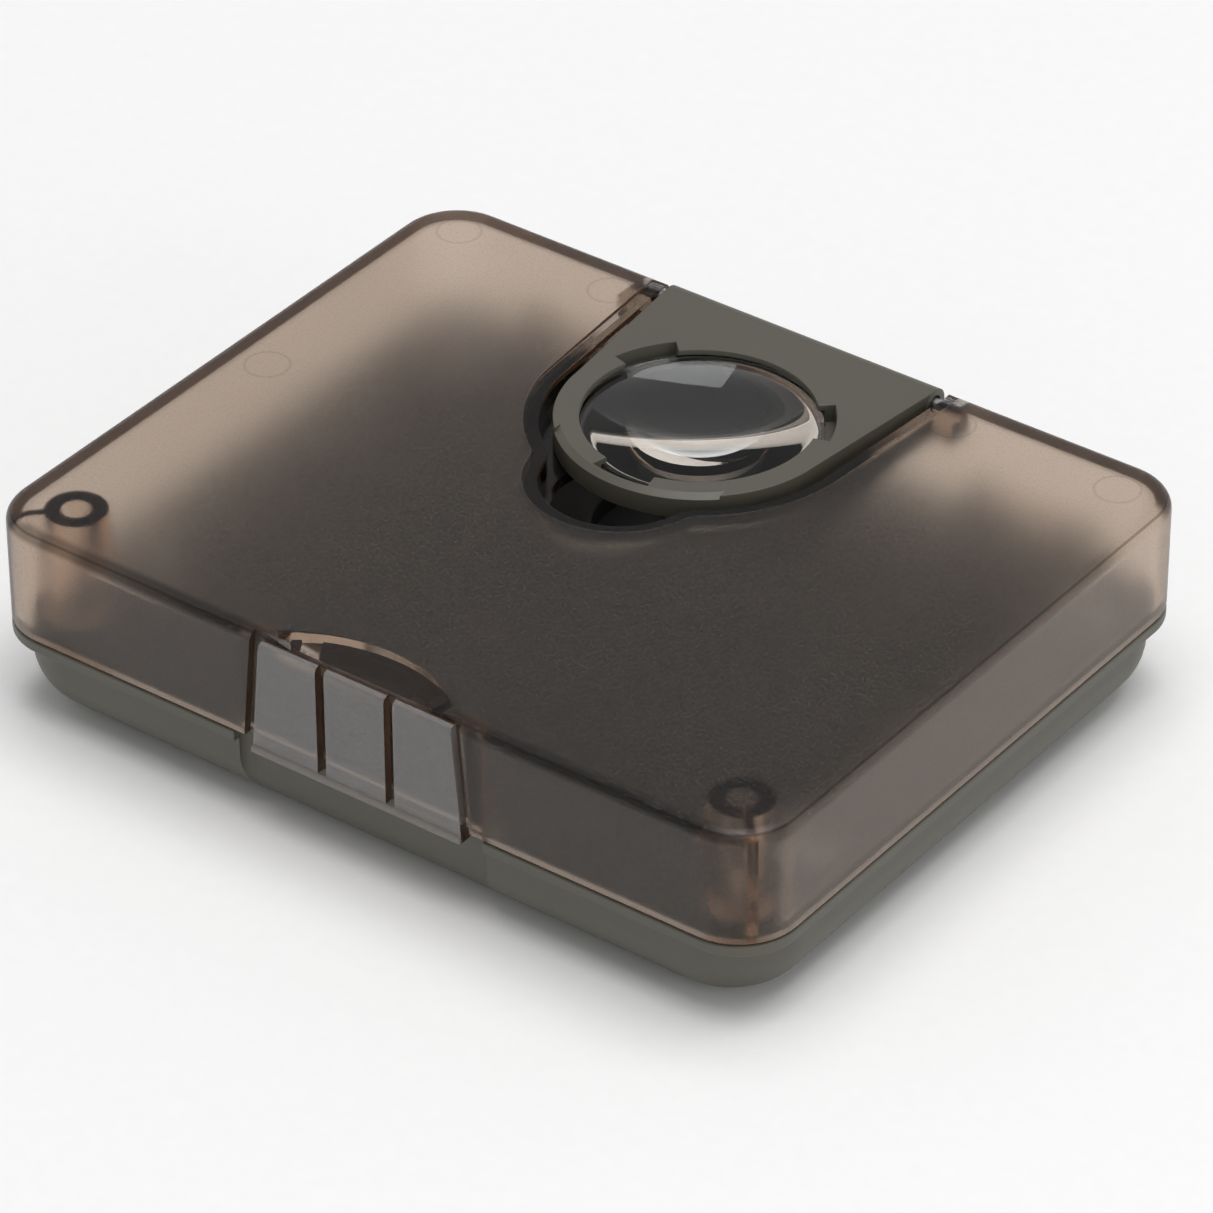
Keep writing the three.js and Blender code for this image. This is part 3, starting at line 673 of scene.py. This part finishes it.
# %% Holes in the base
def finish_base(base):
    for x, y in SCREWS:
        cut(base, rod("screw bore", 1.3, (x, y), (POST_TOP - 6, RIM_TOP), sides=32))
    for x, y in FEET:
        cut(base, rod("foot pocket", 4.3, (x, y), (-1, BASE_BOTTOM + 1), sides=64))
    for side in (-1, 1):
        cut(base, rod("magnet pocket", 2.3, (side * BOSS_X, BOSS_Y), (POST_TOP - 4.3, RIM_TOP), sides=48))
    for span in both_sides((HINGE_X - 5, HINGE_X + 5)):
        cut(base, rod("room", KNUCKLE + GAP, (HINGE_Y, HINGE_Z), span, axis="X", sides=64))
    for span in both_sides((HINGE_X - 11, HINGE_X + 11)):
        cut(base, rod("pin bore", PIN_BORE, (HINGE_Y, HINGE_Z), span, axis="X", sides=32))
    edge_x = RECESS["half"] * MM
    front = spot(0, RECESS["face"], 0).y
    bevel(
        base,
        lambda edge: crisp(edge) and all(
            abs(abs(vertex.co.x) - edge_x) < 0.05 * MM and vertex.co.z > RIM_LOW * MM - 1e-5 and vertex.co.y < front
            for vertex in edge.verts
        ),
        0.25, 3,
    )
    return smooth(base)


finish_base(base_object)
done(base_object, "base", "olive_plastic", OLIVE, "base_tray")

# %% [markdown]
# ## Deck
# The deck drops into the base and is held by four screws. A groove guides a blade over the row of magnets, the
# slot takes a blade between two magnets, and the round wells hold small parts. Every edge that a hand could touch
# is broken with a small chamfer.

# %% The dark deck
DECK = (10.0, 12.0)
DEEP_FLOOR = 5.2
SLOT = {"x": 38.0, "half_x": 3.5, "half_y": 9.0, "round": 0.6}
WELL = {"x": -38.0, "radius": 11.0}
INSPECTION = {"radius": 14.0, "floor": 9.0}
GUIDE = {"y": -22.0, "half_x": 41.0, "half_y": 4.0, "depth": 1.0}
CUP_WALL = 1.2


def slot_block(name, grow, z):
    x = (SLOT["x"] - SLOT["half_x"] - grow, SLOT["x"] + SLOT["half_x"] + grow)
    y = (LENS_Y - SLOT["half_y"] - grow, LENS_Y + SLOT["half_y"] + grow)
    return bevel(block(name, x, y, z), upright, SLOT["round"] + grow, 6)


def deck_piece():
    deck = rounded_block("dark_deck", (-56.7, 56.7), (-44.7, 44.7), DECK, 8.7)
    cut(deck, finger_recess("recess wall", 2 + GAP))
    under, over = DECK[0] + 1, DECK[1] + 3
    join(deck, slot_block("slot wall", CUP_WALL, (DEEP_FLOOR - 1, under)))
    join(deck, rod("well wall", WELL["radius"] + CUP_WALL, (WELL["x"], LENS_Y), (DEEP_FLOOR - 1, under), sides=96))
    shallow = INSPECTION["floor"]
    join(deck, rod("lens well wall", INSPECTION["radius"] + CUP_WALL, (0, LENS_Y), (shallow - 1, under), sides=128))
    cut(deck, slot_block("slot", 0, (DEEP_FLOOR, over)))
    cut(deck, rod("well", WELL["radius"], (WELL["x"], LENS_Y), (DEEP_FLOOR, over), sides=96))
    cut(deck, rod("lens well", INSPECTION["radius"], (0, LENS_Y), (shallow, over), sides=128))
    reach, width = GUIDE["half_x"], GUIDE["half_y"]
    y = (GUIDE["y"] - width, GUIDE["y"] + width)
    groove = block("groove", (-reach, reach), y, (DECK[1] - GUIDE["depth"], over))
    cut(deck, bevel(groove, upright, 0.8, 6))
    for place in SCREWS:
        cut(deck, rod("screw hole", 1.3, place, (8, over), sides=32), rod("seat", 2.6, place, (10.7, over), sides=48))
    bevel(deck, lambda edge: crisp(edge) and level(DECK[1])(edge), 0.35, 3)
    return deck


deck_object = deck_piece()

# %% [markdown]
# A plus beside the slot says that a blade put in there is magnetized, and a minus beside the groove says that a
# blade drawn along it is demagnetized. Both are sunk 0.4 mm.

# %% The plus and the minus
MARK = {"half": 2.4, "stroke": 0.5, "depth": 0.4}
PLUS = (38.0, 38.2)
MINUS = (0.0, -12.6)


def stroke(at, half_x, half_y):
    x, y = (at[0] - half_x, at[0] + half_x), (at[1] - half_y, at[1] + half_y)
    return bevel(block("stroke", x, y, (DECK[1] - MARK["depth"], DECK[1] + 1)), upright, 0.3, 4)


long, short = MARK["half"], MARK["stroke"]
cut(deck_object, join(stroke(PLUS, long, short), stroke(PLUS, short, long)), stroke(MINUS, long, short))
smooth(deck_object)
done(deck_object, "base", "dark_plastic", DARK, "deck_insert")

# %% [markdown]
# ## Screws and feet
# One pan-head screw with a cross recess is made and copied three times, and so is one foot, a rubber disc with
# a moulded dimple.


# %% Screws and feet
def deck_screw(name, x, y):
    screw = rod(name, 2.3, (x, y), (11.0, 11.7), sides=64)
    bevel(screw, level(11.7), 0.3, 4)
    for half_x, half_y in ((1.2, 0.3), (0.3, 1.2)):
        recess = block("recess", (x - half_x, x + half_x), (y - half_y, y + half_y), (11.25, 12))
        cut(screw, bevel(recess, upright, 0.12, 3))
    shank = rod("shank", 1.0, (x, y), (4.0, 11.2), sides=32)
    return smooth(join(screw, bevel(shank, level(4.0), 0.4, 3)))


def rubber_foot(name, x, y):
    foot = rod(name, 4.0, (x, y), (0, 1.3), sides=96)
    bevel(foot, level(0), 0.3, 4)
    return smooth(cut(foot, rod("dimple", 1.6, (x, y), (-0.5, 0.3), sides=64, top_radius=1.2)))


def copy_to(piece, name, at, first):
    """A copy with its own mesh, moved from the first place to another."""
    twin = piece.copy()
    twin.data = piece.data.copy()
    twin.name = twin.data.name = name
    bpy.context.scene.collection.objects.link(twin)
    edit(twin, "VERT")
    bpy.ops.mesh.select_all(action="SELECT")
    bpy.ops.transform.translate(value=((at[0] - first[0]) * MM, (at[1] - first[1]) * MM, 0))
    bpy.ops.object.mode_set(mode="OBJECT")
    return twin


def node_at(prefix, x, y):
    """The CAD node of a family that stands at one place."""
    for name in nodes:
        if name.startswith(prefix):
            low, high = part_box(name)
            if ((low + high) / 2 - spot(x, y, 0)).xy.length < 0.5 * MM:
                return name
    raise ValueError(f"no {prefix} at {x}, {y}")


first_screw = deck_screw("pan_screw_1", *SCREWS[0])
first_foot = rubber_foot("rubber_foot_1", *FEET[0])
screws = [first_screw] + [copy_to(first_screw, f"pan_screw_{i + 1}", SCREWS[i], SCREWS[0]) for i in (1, 2, 3)]
feet = [first_foot] + [copy_to(first_foot, f"rubber_foot_{i + 1}", FEET[i], FEET[0]) for i in (1, 2, 3)]
for screw, place in zip(screws, SCREWS):
    done(screw, "base", "steel", STEEL, node_at("deck_screw", *place))
for foot, place in zip(feet, FEET):
    done(foot, "base", "rubber", RUBBER, node_at("foot", *place))

# %% [markdown]
# ## Lid
# The lid is a shallow box turned upside down: a shell 2 mm thick with a rounded top edge. On the real moulding
# everything is one piece, so the seat for the loupe, the bosses for the catch magnets and the plastic behind the
# grip are joined to the shell before anything is cut.

# %% The lid's shell
SEAT = {"low": 24.0, "shelf": 25.6, "wall": 1.6, "rear": 47.4, "lug": 4.2}
GRIP = {
    "top": 14.7, "bottom": 16.3, "skirt": 11.1, "margin": 1.4, "face": -46.8, "scoop": 7.0, "drop": 1.8, "run": 4.0,
}
LUG_FROM = REAR_HALF + POCKET["rear_margin"]
BOSS = {"low": 13.2, "radius": 4.1, "bore": 1.95, "rib": 7.9}


def boss(side):
    """A round boss braced to the corner behind it."""
    x, y = side * BOSS_X, BOSS_Y
    round_boss = rod("boss", BOSS["radius"], (x, y), (BOSS["low"], ROOF_BOTTOM + 0.5), sides=64)
    rib = block("rib", (0, BOSS["rib"]), (-0.6, 0.6), (BOSS["low"], ROOF_BOTTOM + 0.5))
    edit(rib, "VERT")
    bpy.ops.mesh.select_all(action="SELECT")
    clockwise = math.radians(45 if side > 0 else 135)
    bpy.ops.transform.rotate(value=clockwise, orient_axis="Z", center_override=spot(0, 0, 0))
    bpy.ops.transform.translate(value=(x * MM, y * MM, 0))
    bpy.ops.object.mode_set(mode="OBJECT")
    return join(round_boss, rib)


def scoop_radius():
    """The arch rises by the scoop's reach over the width of the grip and its recess."""
    half = GRIP["top"] + GRIP["margin"]
    return (half ** 2 + GRIP["scoop"] ** 2) / (2 * GRIP["scoop"])


def lid_piece():
    lid = rounded_block(
        "smoke_lid", (-HALF_X, HALF_X), (-HALF_Y, HALF_Y), (LID_BOTTOM, LID_TOP), CORNER,
        top=1.8, bottom=0.2, edge_steps=8,
    )
    cut(lid, rounded_block("cavity", (-58, 58), (-46, 46), (5, ROOF_BOTTOM), 6.5, top=1))
    half = GRIP["bottom"] + GRIP["margin"] + 1
    roof_in = ROOF_BOTTOM + 0.5
    join(lid, block("behind grip", (-half, half), (-46.5, -44.8), (LID_BOTTOM + 0.3, roof_in)))
    arch = scoop_radius()
    centre, span = (0, -HALF_Y + GRIP["scoop"] - arch), (ROOF_BOTTOM - GRIP["drop"], roof_in)
    under = rod("under scoop", arch + 1, centre, span, sides=256)
    join(lid, keep_inside(under, block("backing", (-half, half), (-46.5, -40.0), (LID_BOTTOM, LID_TOP))))
    join(lid, boss(-1), boss(1))
    join(lid, pocket_shape("seat", SEAT["wall"], (SEAT["low"], roof_in), SEAT["rear"]))
    lug = LUG_FROM + SEAT["lug"]
    join(lid, block("lugs", (-lug, lug), (PIN_Y - 4.2, SEAT["rear"]), (SEAT["low"], roof_in)))
    for span in both_sides((HINGE_X - 4.7, HINGE_X + 4.7)):
        knuckle = rod("knuckle", KNUCKLE, (HINGE_Y, HINGE_Z), span, axis="X", sides=48)
        bevel(knuckle, lambda edge: abs(edge.verts[0].co.x - edge.verts[1].co.x) < 0.01 * MM, 0.3, 3)
        join(lid, knuckle, block("web", span, (46.5, HINGE_Y), (LID_BOTTOM, HINGE_Z + KNUCKLE)))
    return lid


lid_object = lid_piece()
print("lid shell", len(lid_object.data.vertices), "points")

# %% [markdown]
# ## Thumb grip
# The grip stands in a recess in the lid's front. Three pads, split by two grooves, slope in a little towards the
# top, and the lip below them hangs in front of the base's recess. Above the pads, an arched scoop lets the thumb
# roll over the lid's edge.


# %% The grip's recess, pads and lip
def tapered(name, half_top, half_bottom, y, z):
    """A block whose lower corners are drawn apart, as the grip is from its top to its bottom."""
    piece = block(name, (-half_top, half_top), y, z)
    mesh = edit(piece, "VERT")
    for vertex in mesh.verts:
        vertex.select = abs(vertex.co.z - z[0] * MM) < 0.01 * MM
    mesh.select_flush_mode()
    bmesh.update_edit_mesh(piece.data)
    bpy.ops.transform.resize(value=(half_bottom / half_top, 1, 1), center_override=spot(0, 0, 0))
    bpy.ops.object.mode_set(mode="OBJECT")
    return piece


GROOVE = {"x": 5.3, "half": 0.675}
SLOPE = (GRIP["bottom"] - GRIP["top"]) / (LID_TOP - GRIP["skirt"])


def half_at(z, margin=0.0):
    return GRIP["top"] + margin + SLOPE * (LID_TOP - z)


def grip_cut(lid):
    margin = GRIP["margin"]
    high = LID_TOP + 1
    recess = tapered(
        "recess", half_at(high, margin), half_at(LID_BOTTOM - 1, margin), (-53, GRIP["face"]), (LID_BOTTOM - 1, high),
    )
    radius, run, rise = scoop_radius(), GRIP["run"], 5.0
    cone = rod(
        "scoop", radius - run, (0, -HALF_Y + GRIP["scoop"] - radius), (LID_TOP - GRIP["drop"], LID_TOP + rise),
        sides=256, top_radius=radius + rise * run / GRIP["drop"],
    )
    return cut(lid, recess, cone)


def front_edge(low, high):
    """Picks real edges on the pads' front face between two heights."""
    face = spot(0, -48, 0).y
    return lambda edge: crisp(edge) and all(
        abs(vertex.co.y - face) < 0.01 * MM and low * MM <= vertex.co.z <= high * MM for vertex in edge.verts
    )


def grooves():
    """The two cutters for the grooves between the pads."""
    spans = [(side * GROOVE["x"] - GROOVE["half"], side * GROOVE["x"] + GROOVE["half"]) for side in (-1, 1)]
    return [block("groove", span, (-53, GRIP["face"]), (12.0, LID_TOP + 1)) for span in spans]


def pads():
    top = LID_TOP - 1.2
    pad = tapered("pads", half_at(top), GRIP["bottom"], (-48, -46.3), (GRIP["skirt"], top))
    cut(pad, *grooves())
    bevel(pad, front_edge(top - 0.05, top + 0.05), 0.8, 2)
    bevel(pad, front_edge(12.1, top - 0.9), 0.15, 2)
    return pad


def lip():
    edge = tapered("lip", half_at(12.0), GRIP["bottom"], (-48.5, GRIP["face"]), (GRIP["skirt"], 12.0))
    front = spot(0, -48.5, 0).y
    return bevel(edge, lambda e: all(abs(vertex.co.y - front) < 0.01 * MM for vertex in e.verts), 0.2, 3)


grip_cut(lid_object)
skirt = tapered("skirt", half_at(13.6), GRIP["bottom"], (-48, -46), (GRIP["skirt"], 13.6))
join(lid_object, cut(skirt, *grooves()), pads(), lip())
print("grip made,", len(lid_object.data.vertices), "points")

# %% [markdown]
# ## The loupe's pocket
# The pocket goes 3.4 mm down to a narrow shelf that the arm's rim lies on, with a round window through the shelf
# under the lens and a hole in front for a fingertip. A polished step 0.5 mm deep runs round it.

# %% Pocket, window, step and hinge
STEP = {"wide": 2.0, "deep": 0.5}
WINDOW = 15.2
FINGER_HOLE = 8.9


def pocket_cuts(lid):
    over = LID_TOP + 3
    cut(lid, pocket_shape("pocket", 0, (SEAT["shelf"], over), HALF_Y + 3))
    cut(lid, pocket_shape("step", STEP["wide"], (LID_TOP - STEP["deep"], over), HALF_Y + 3))
    cut(lid, rod("window", WINDOW, (0, LENS_Y), (20, 28), sides=128))
    cut(lid, rod("finger hole", FINGER_HOLE, (0, BULGE_Y), (20, 28), sides=96))
    cut(lid, rod("barrel room", 2.4, (PIN_Y, PIN_Z), (-LUG_FROM, LUG_FROM), axis="X", sides=64))
    pin_end = LUG_FROM + SEAT["lug"] - 1
    return cut(lid, rod("pin hole", 1.2, (PIN_Y, PIN_Z), (-pin_end, pin_end), axis="X", sides=32))


def hinge_cuts(lid):
    for side in (-1, 1):
        cut(lid, rod("boss bore", BOSS["bore"], (side * BOSS_X, BOSS_Y), (5, ROOF_BOTTOM), sides=48))
    for ear in EARS:
        for span in both_sides((ear[0] - GAP, ear[1] + GAP)):
            cut(lid, rod("room", KNUCKLE + GAP, (HINGE_Y, HINGE_Z), span, axis="X", sides=64))
    for span in both_sides((HINGE_X - 11, HINGE_X + 11)):
        cut(lid, rod("pin bore", PIN_BORE, (HINGE_Y, HINGE_Z), span, axis="X", sides=32))
    return lid


def inner_level(height, edge):
    """Picks real edges at one height that aren't on the lid's own outline."""
    inside = all(abs(vertex.co.x) < 30 * MM and vertex.co.y < spot(0, 47.5, 0).y for vertex in edge.verts)
    return inside and level(height)(edge) and crisp(edge)


pocket_cuts(lid_object)
hinge_cuts(lid_object)
bevel(lid_object, lambda edge: inner_level(LID_TOP, edge), 0.18, 2)
bevel(lid_object, lambda edge: inner_level(LID_TOP - STEP["deep"], edge), 0.15, 2)
smooth(lid_object)
done(lid_object, "lid", "smoke_plastic", SMOKE, "lid_shell")

# %% [markdown]
# Three face attributes tell the finish which texture its part of the mould has, where painted light goes (the
# pads) and where painted shade goes (the deep faces). A face belongs to the frosted outside if it lies high enough,
# or far enough out from the middle of the rounded outline. The plastic stays one material, because the absorption
# inside it begins and ends at that material's own surface.


# %% Frosted outside, polished inside
# The pads' faces get the pad attribute, which paints light on them.
def is_pad(middle, normal):
    return middle.y < -47.4 and abs(middle.x) < GRIP["bottom"] + 0.2 and middle.z < LID_TOP - 1.1


def in_painted_shade(middle, normal):
    """Faces that get painted shade: round the loupe's pocket, in the grooves and in the strips beside the pads."""
    groove = abs(abs(middle.x) - GROOVE["x"]) < GROOVE["half"] + 0.05
    strip = half_at(middle.z) - 0.05 < abs(middle.x) < half_at(middle.z, GRIP["margin"]) + 0.05
    low_front = -47.9 < middle.y < -46.5 and 12 < middle.z < LID_TOP - 0.5
    step = abs(middle.z - LID_TOP + STEP["deep"]) < 0.1
    seat = abs(middle.x) < 32 and middle.y > -14 and SEAT["low"] - 0.1 < middle.z < LID_TOP - 0.4
    roof = normal.z < -0.5 and middle.z > ROOF_BOTTOM - 1
    return 0.9 * (low_front and (groove or strip)) or 0.75 * (step or seat and not roof)


def is_outside(middle, normal):
    """Faces on top, or far enough out; behind the rear wall, all but the hinge's knuckles."""
    across = max(abs(middle.x) - HALF_X + CORNER, 0), max(abs(middle.y) - HALF_Y + CORNER, 0)
    outer = middle.z > LID_TOP - 0.3 or Vector(across).length > CORNER - 1.7
    return outer if middle.y < 47.9 else middle.y > 47.9 and middle.z > 15.5


def texture_lid(lid):
    faces = [((face.center - spot(0, 0, 0)) / MM, face.normal.copy()) for face in lid.data.polygons]
    # The pad attribute carries painted light, and the deep attribute carries painted shade.
    for name, chooser in (("frost", is_outside), ("pad", is_pad), ("deep", in_painted_shade)):
        layer = lid.data.attributes.new(name, "FLOAT", "FACE")
        values = [float(chooser(*face)) for face in faces]
        layer.data.foreach_set("value", values)
        print(name, "on", sum(value > 0 for value in values), "faces of", len(values))


texture_lid(lid_object)

# %% [markdown]
# ## Loupe
# The arm is one olive moulding. The lens drops in from below and snaps past three hooks, and the three windows
# beside the lens are what the mould needs to form those hooks. The front of the rim is chamfered for a fingernail.

# %% The loupe's arm
LENS_RADIUS = 16.0
OPENING = 15.4
ARM_REAR = PIN_Y
HOOKS_TOP = 26.7
NOSE = {"half": 13.0, "wide": 0.9, "deep": 0.6}


def nose_cut():
    """The wedge that chamfers the rim's front: a ring with a conical inside, in front of the lens only."""
    low, high = ARM_TOP - NOSE["deep"], ARM_TOP + 1
    ring = rod("nose", RING + 3, (0, LENS_Y), (low, high), sides=192)
    slope = NOSE["wide"] / NOSE["deep"]
    cone = rod(
        "cone", RING + slope, (0, LENS_Y), (low - 1, high), sides=192, top_radius=RING - NOSE["wide"] - slope,
    )
    cut(ring, cone)
    front = block("front", (-NOSE["half"], NOSE["half"]), (LENS_Y - 25, LENS_Y - 10), (low - 2, high + 2))
    return keep_inside(ring, front)


def by_the_lens(edge):
    """Picks the edges of the opening and its windows, not the arm's own outline."""
    axis = spot(0, LENS_Y, 0)
    return all((vertex.co - axis).xy.length < (OPENING + 2.4) * MM for vertex in edge.verts)


def arm_piece():
    arm = flanked_disc("olive_arm", RING, REAR_HALF, ARM_REAR, (ARM_BOTTOM, ARM_TOP))
    bevel(arm, lambda edge: crisp(edge) and level(ARM_TOP)(edge) and edge.verts[0].co.y < spot(0, 45.5, 0).y, 0.22, 2)
    join(arm, rod("barrel", 2.1, (PIN_Y, PIN_Z), (-REAR_HALF, REAR_HALF), axis="X", sides=96))
    cut(arm, nose_cut())
    cut(arm, rod("seat", LENS_RADIUS + GAP, (0, LENS_Y), (ARM_BOTTOM - 2, lens_high.z / MM - 1.3), sides=192))
    cut(arm, rod("opening", OPENING, (0, LENS_Y), (ARM_BOTTOM - 1, ARM_TOP + 1), sides=192))
    for angle in (30, 150, 270):
        cut(arm, sector("window", (OPENING - 1, OPENING + 2.2), (HOOKS_TOP, ARM_TOP + 1), angle, 14))
        join(arm, sector("hook", (15.2, 17.0), (ARM_BOTTOM, ARM_BOTTOM + 0.8), angle, 10))
    cut(arm, rod("pin bore", 1.2, (PIN_Y, PIN_Z), (-REAR_HALF - 1, REAR_HALF + 1), axis="X", sides=32))
    bevel(arm, lambda edge: crisp(edge) and level(ARM_TOP)(edge) and by_the_lens(edge), 0.2, 2)
    return smooth(arm)


arm_object = arm_piece()
done(arm_object, "loupe", "olive_plastic", OLIVE, "loupe_arm")

# %% [markdown]
# The lens is biconvex with a flat edge. It grows out of a thin disc: each face is inset again and again, and
# lifted every time by what a sphere of 71 mm radius rises there.

# %% The lens
LENS_EDGE = (lens_low.z / MM + 1.6, lens_high.z / MM - 1.6)
DOME = 15.0
SAG = 1.6


def lens_piece():
    lens = rod("clear_lens", LENS_RADIUS, (0, LENS_Y), LENS_EDGE, sides=160)
    sphere = (DOME ** 2 + SAG ** 2) / (2 * SAG)
    radii = [DOME * (1 - i / 15) for i in range(15)] + [0.25]
    for side, start in ((1, LENS_EDGE[1]), (-1, LENS_EDGE[0])):
        mesh = edit(lens, "FACE")
        for face in mesh.faces:
            face.select_set(side * face.normal.z > 0.9)
        bmesh.update_edit_mesh(lens.data)
        before, height = LENS_RADIUS, 0.0
        for radius in radii:
            rise = math.sqrt(sphere ** 2 - radius ** 2) - sphere + SAG
            bpy.ops.mesh.inset(thickness=(before - radius) * MM)
            bpy.ops.transform.translate(value=(0, 0, side * (rise - height) * MM))
            before, height = radius, rise
        bpy.ops.object.mode_set(mode="OBJECT")
    return smooth(lens, 20)


lens_object = lens_piece()
done(lens_object, "loupe", "lens_glass", LENS, "loupe_lens")

# %% [markdown]
# ## Pins, magnets and yokes
# The pins and the parts under the deck are plain bars and blocks on the real object too, so the frame's own
# meshes stay, with ground steel or nickel on them.

# %% Metal on the frame's own nodes
for name, node in nodes.items():
    if node.hide_render:
        continue
    node.data.materials.clear()
    node.data.materials.append(NICKEL if "magnet" in name else STEEL)
    print(name, "keeps its mesh, in", node.data.materials[0].name)

# %% [markdown]
# ## Floor and light
# The object stands on a pale floor. The sky is as bright as the floor at the horizon and dimmer above, so that
# the lid's top has little to mirror and stays dark. One large soft light hangs high above, and a small one stands
# on the right and lifts the right-hand faces.


# %% Floor, sky and lights
def add_floor():
    bpy.ops.object.select_all(action="DESELECT")
    bpy.ops.mesh.primitive_plane_add(size=40)
    floor = named("floor")
    finish = Finish("pale floor", (0.86, 0.86, 0.86), 0.9)
    speck = finish.noise(400, 2)
    finish.drive("Base Color", finish.mix(speck, (0.86, 0.86, 0.86), (0.89, 0.89, 0.89)))
    floor.data.materials.append(finish.material)
    return floor


def add_light(name, place, aim, size, power):
    light = bpy.data.lights.new(name, "AREA")
    light.shape = "RECTANGLE"
    light.size, light.size_y = size
    light.energy = power
    lamp = bpy.data.objects.new(name, light)
    lamp.location = place
    lamp.rotation_euler = (Vector(aim) - Vector(place)).to_track_quat("-Z", "Y").to_euler()
    bpy.context.scene.collection.objects.link(lamp)
    return lamp


def add_sky(horizon, above):
    """A sky whose brightness falls smoothly from the horizon to about 24 degrees up, and is even above that."""
    world = bpy.data.worlds.new("sky")
    world.use_nodes = True
    tree = world.node_tree
    direction = tree.nodes.new("ShaderNodeTexCoord")
    split = tree.nodes.new("ShaderNodeSeparateXYZ")
    fall = tree.nodes.new("ShaderNodeMapRange")
    fall.interpolation_type = "SMOOTHSTEP"
    for socket, value in zip((1, 2, 3, 4), (0.03, 0.4, horizon, above)):
        fall.inputs[socket].default_value = value
    tree.links.new(direction.outputs["Generated"], split.inputs[0])
    tree.links.new(split.outputs["Z"], fall.inputs[0])
    tree.links.new(fall.outputs[0], tree.nodes["Background"].inputs["Strength"])
    tree.nodes["Background"].inputs["Color"].default_value = (1, 1, 1, 1)
    bpy.context.scene.world = world


add_floor()
add_sky(1.05, 0.36)
add_light("overhead", (0.3, 0.1, 3.0), (0, 0, 0), (2.4, 2.4), 72.0)
add_light("right", (0.8, -0.1, 0.3), (0, 0, 0.01), (0.4, 0.4), 0.9)
bpy.context.scene.view_settings.view_transform = "Standard"
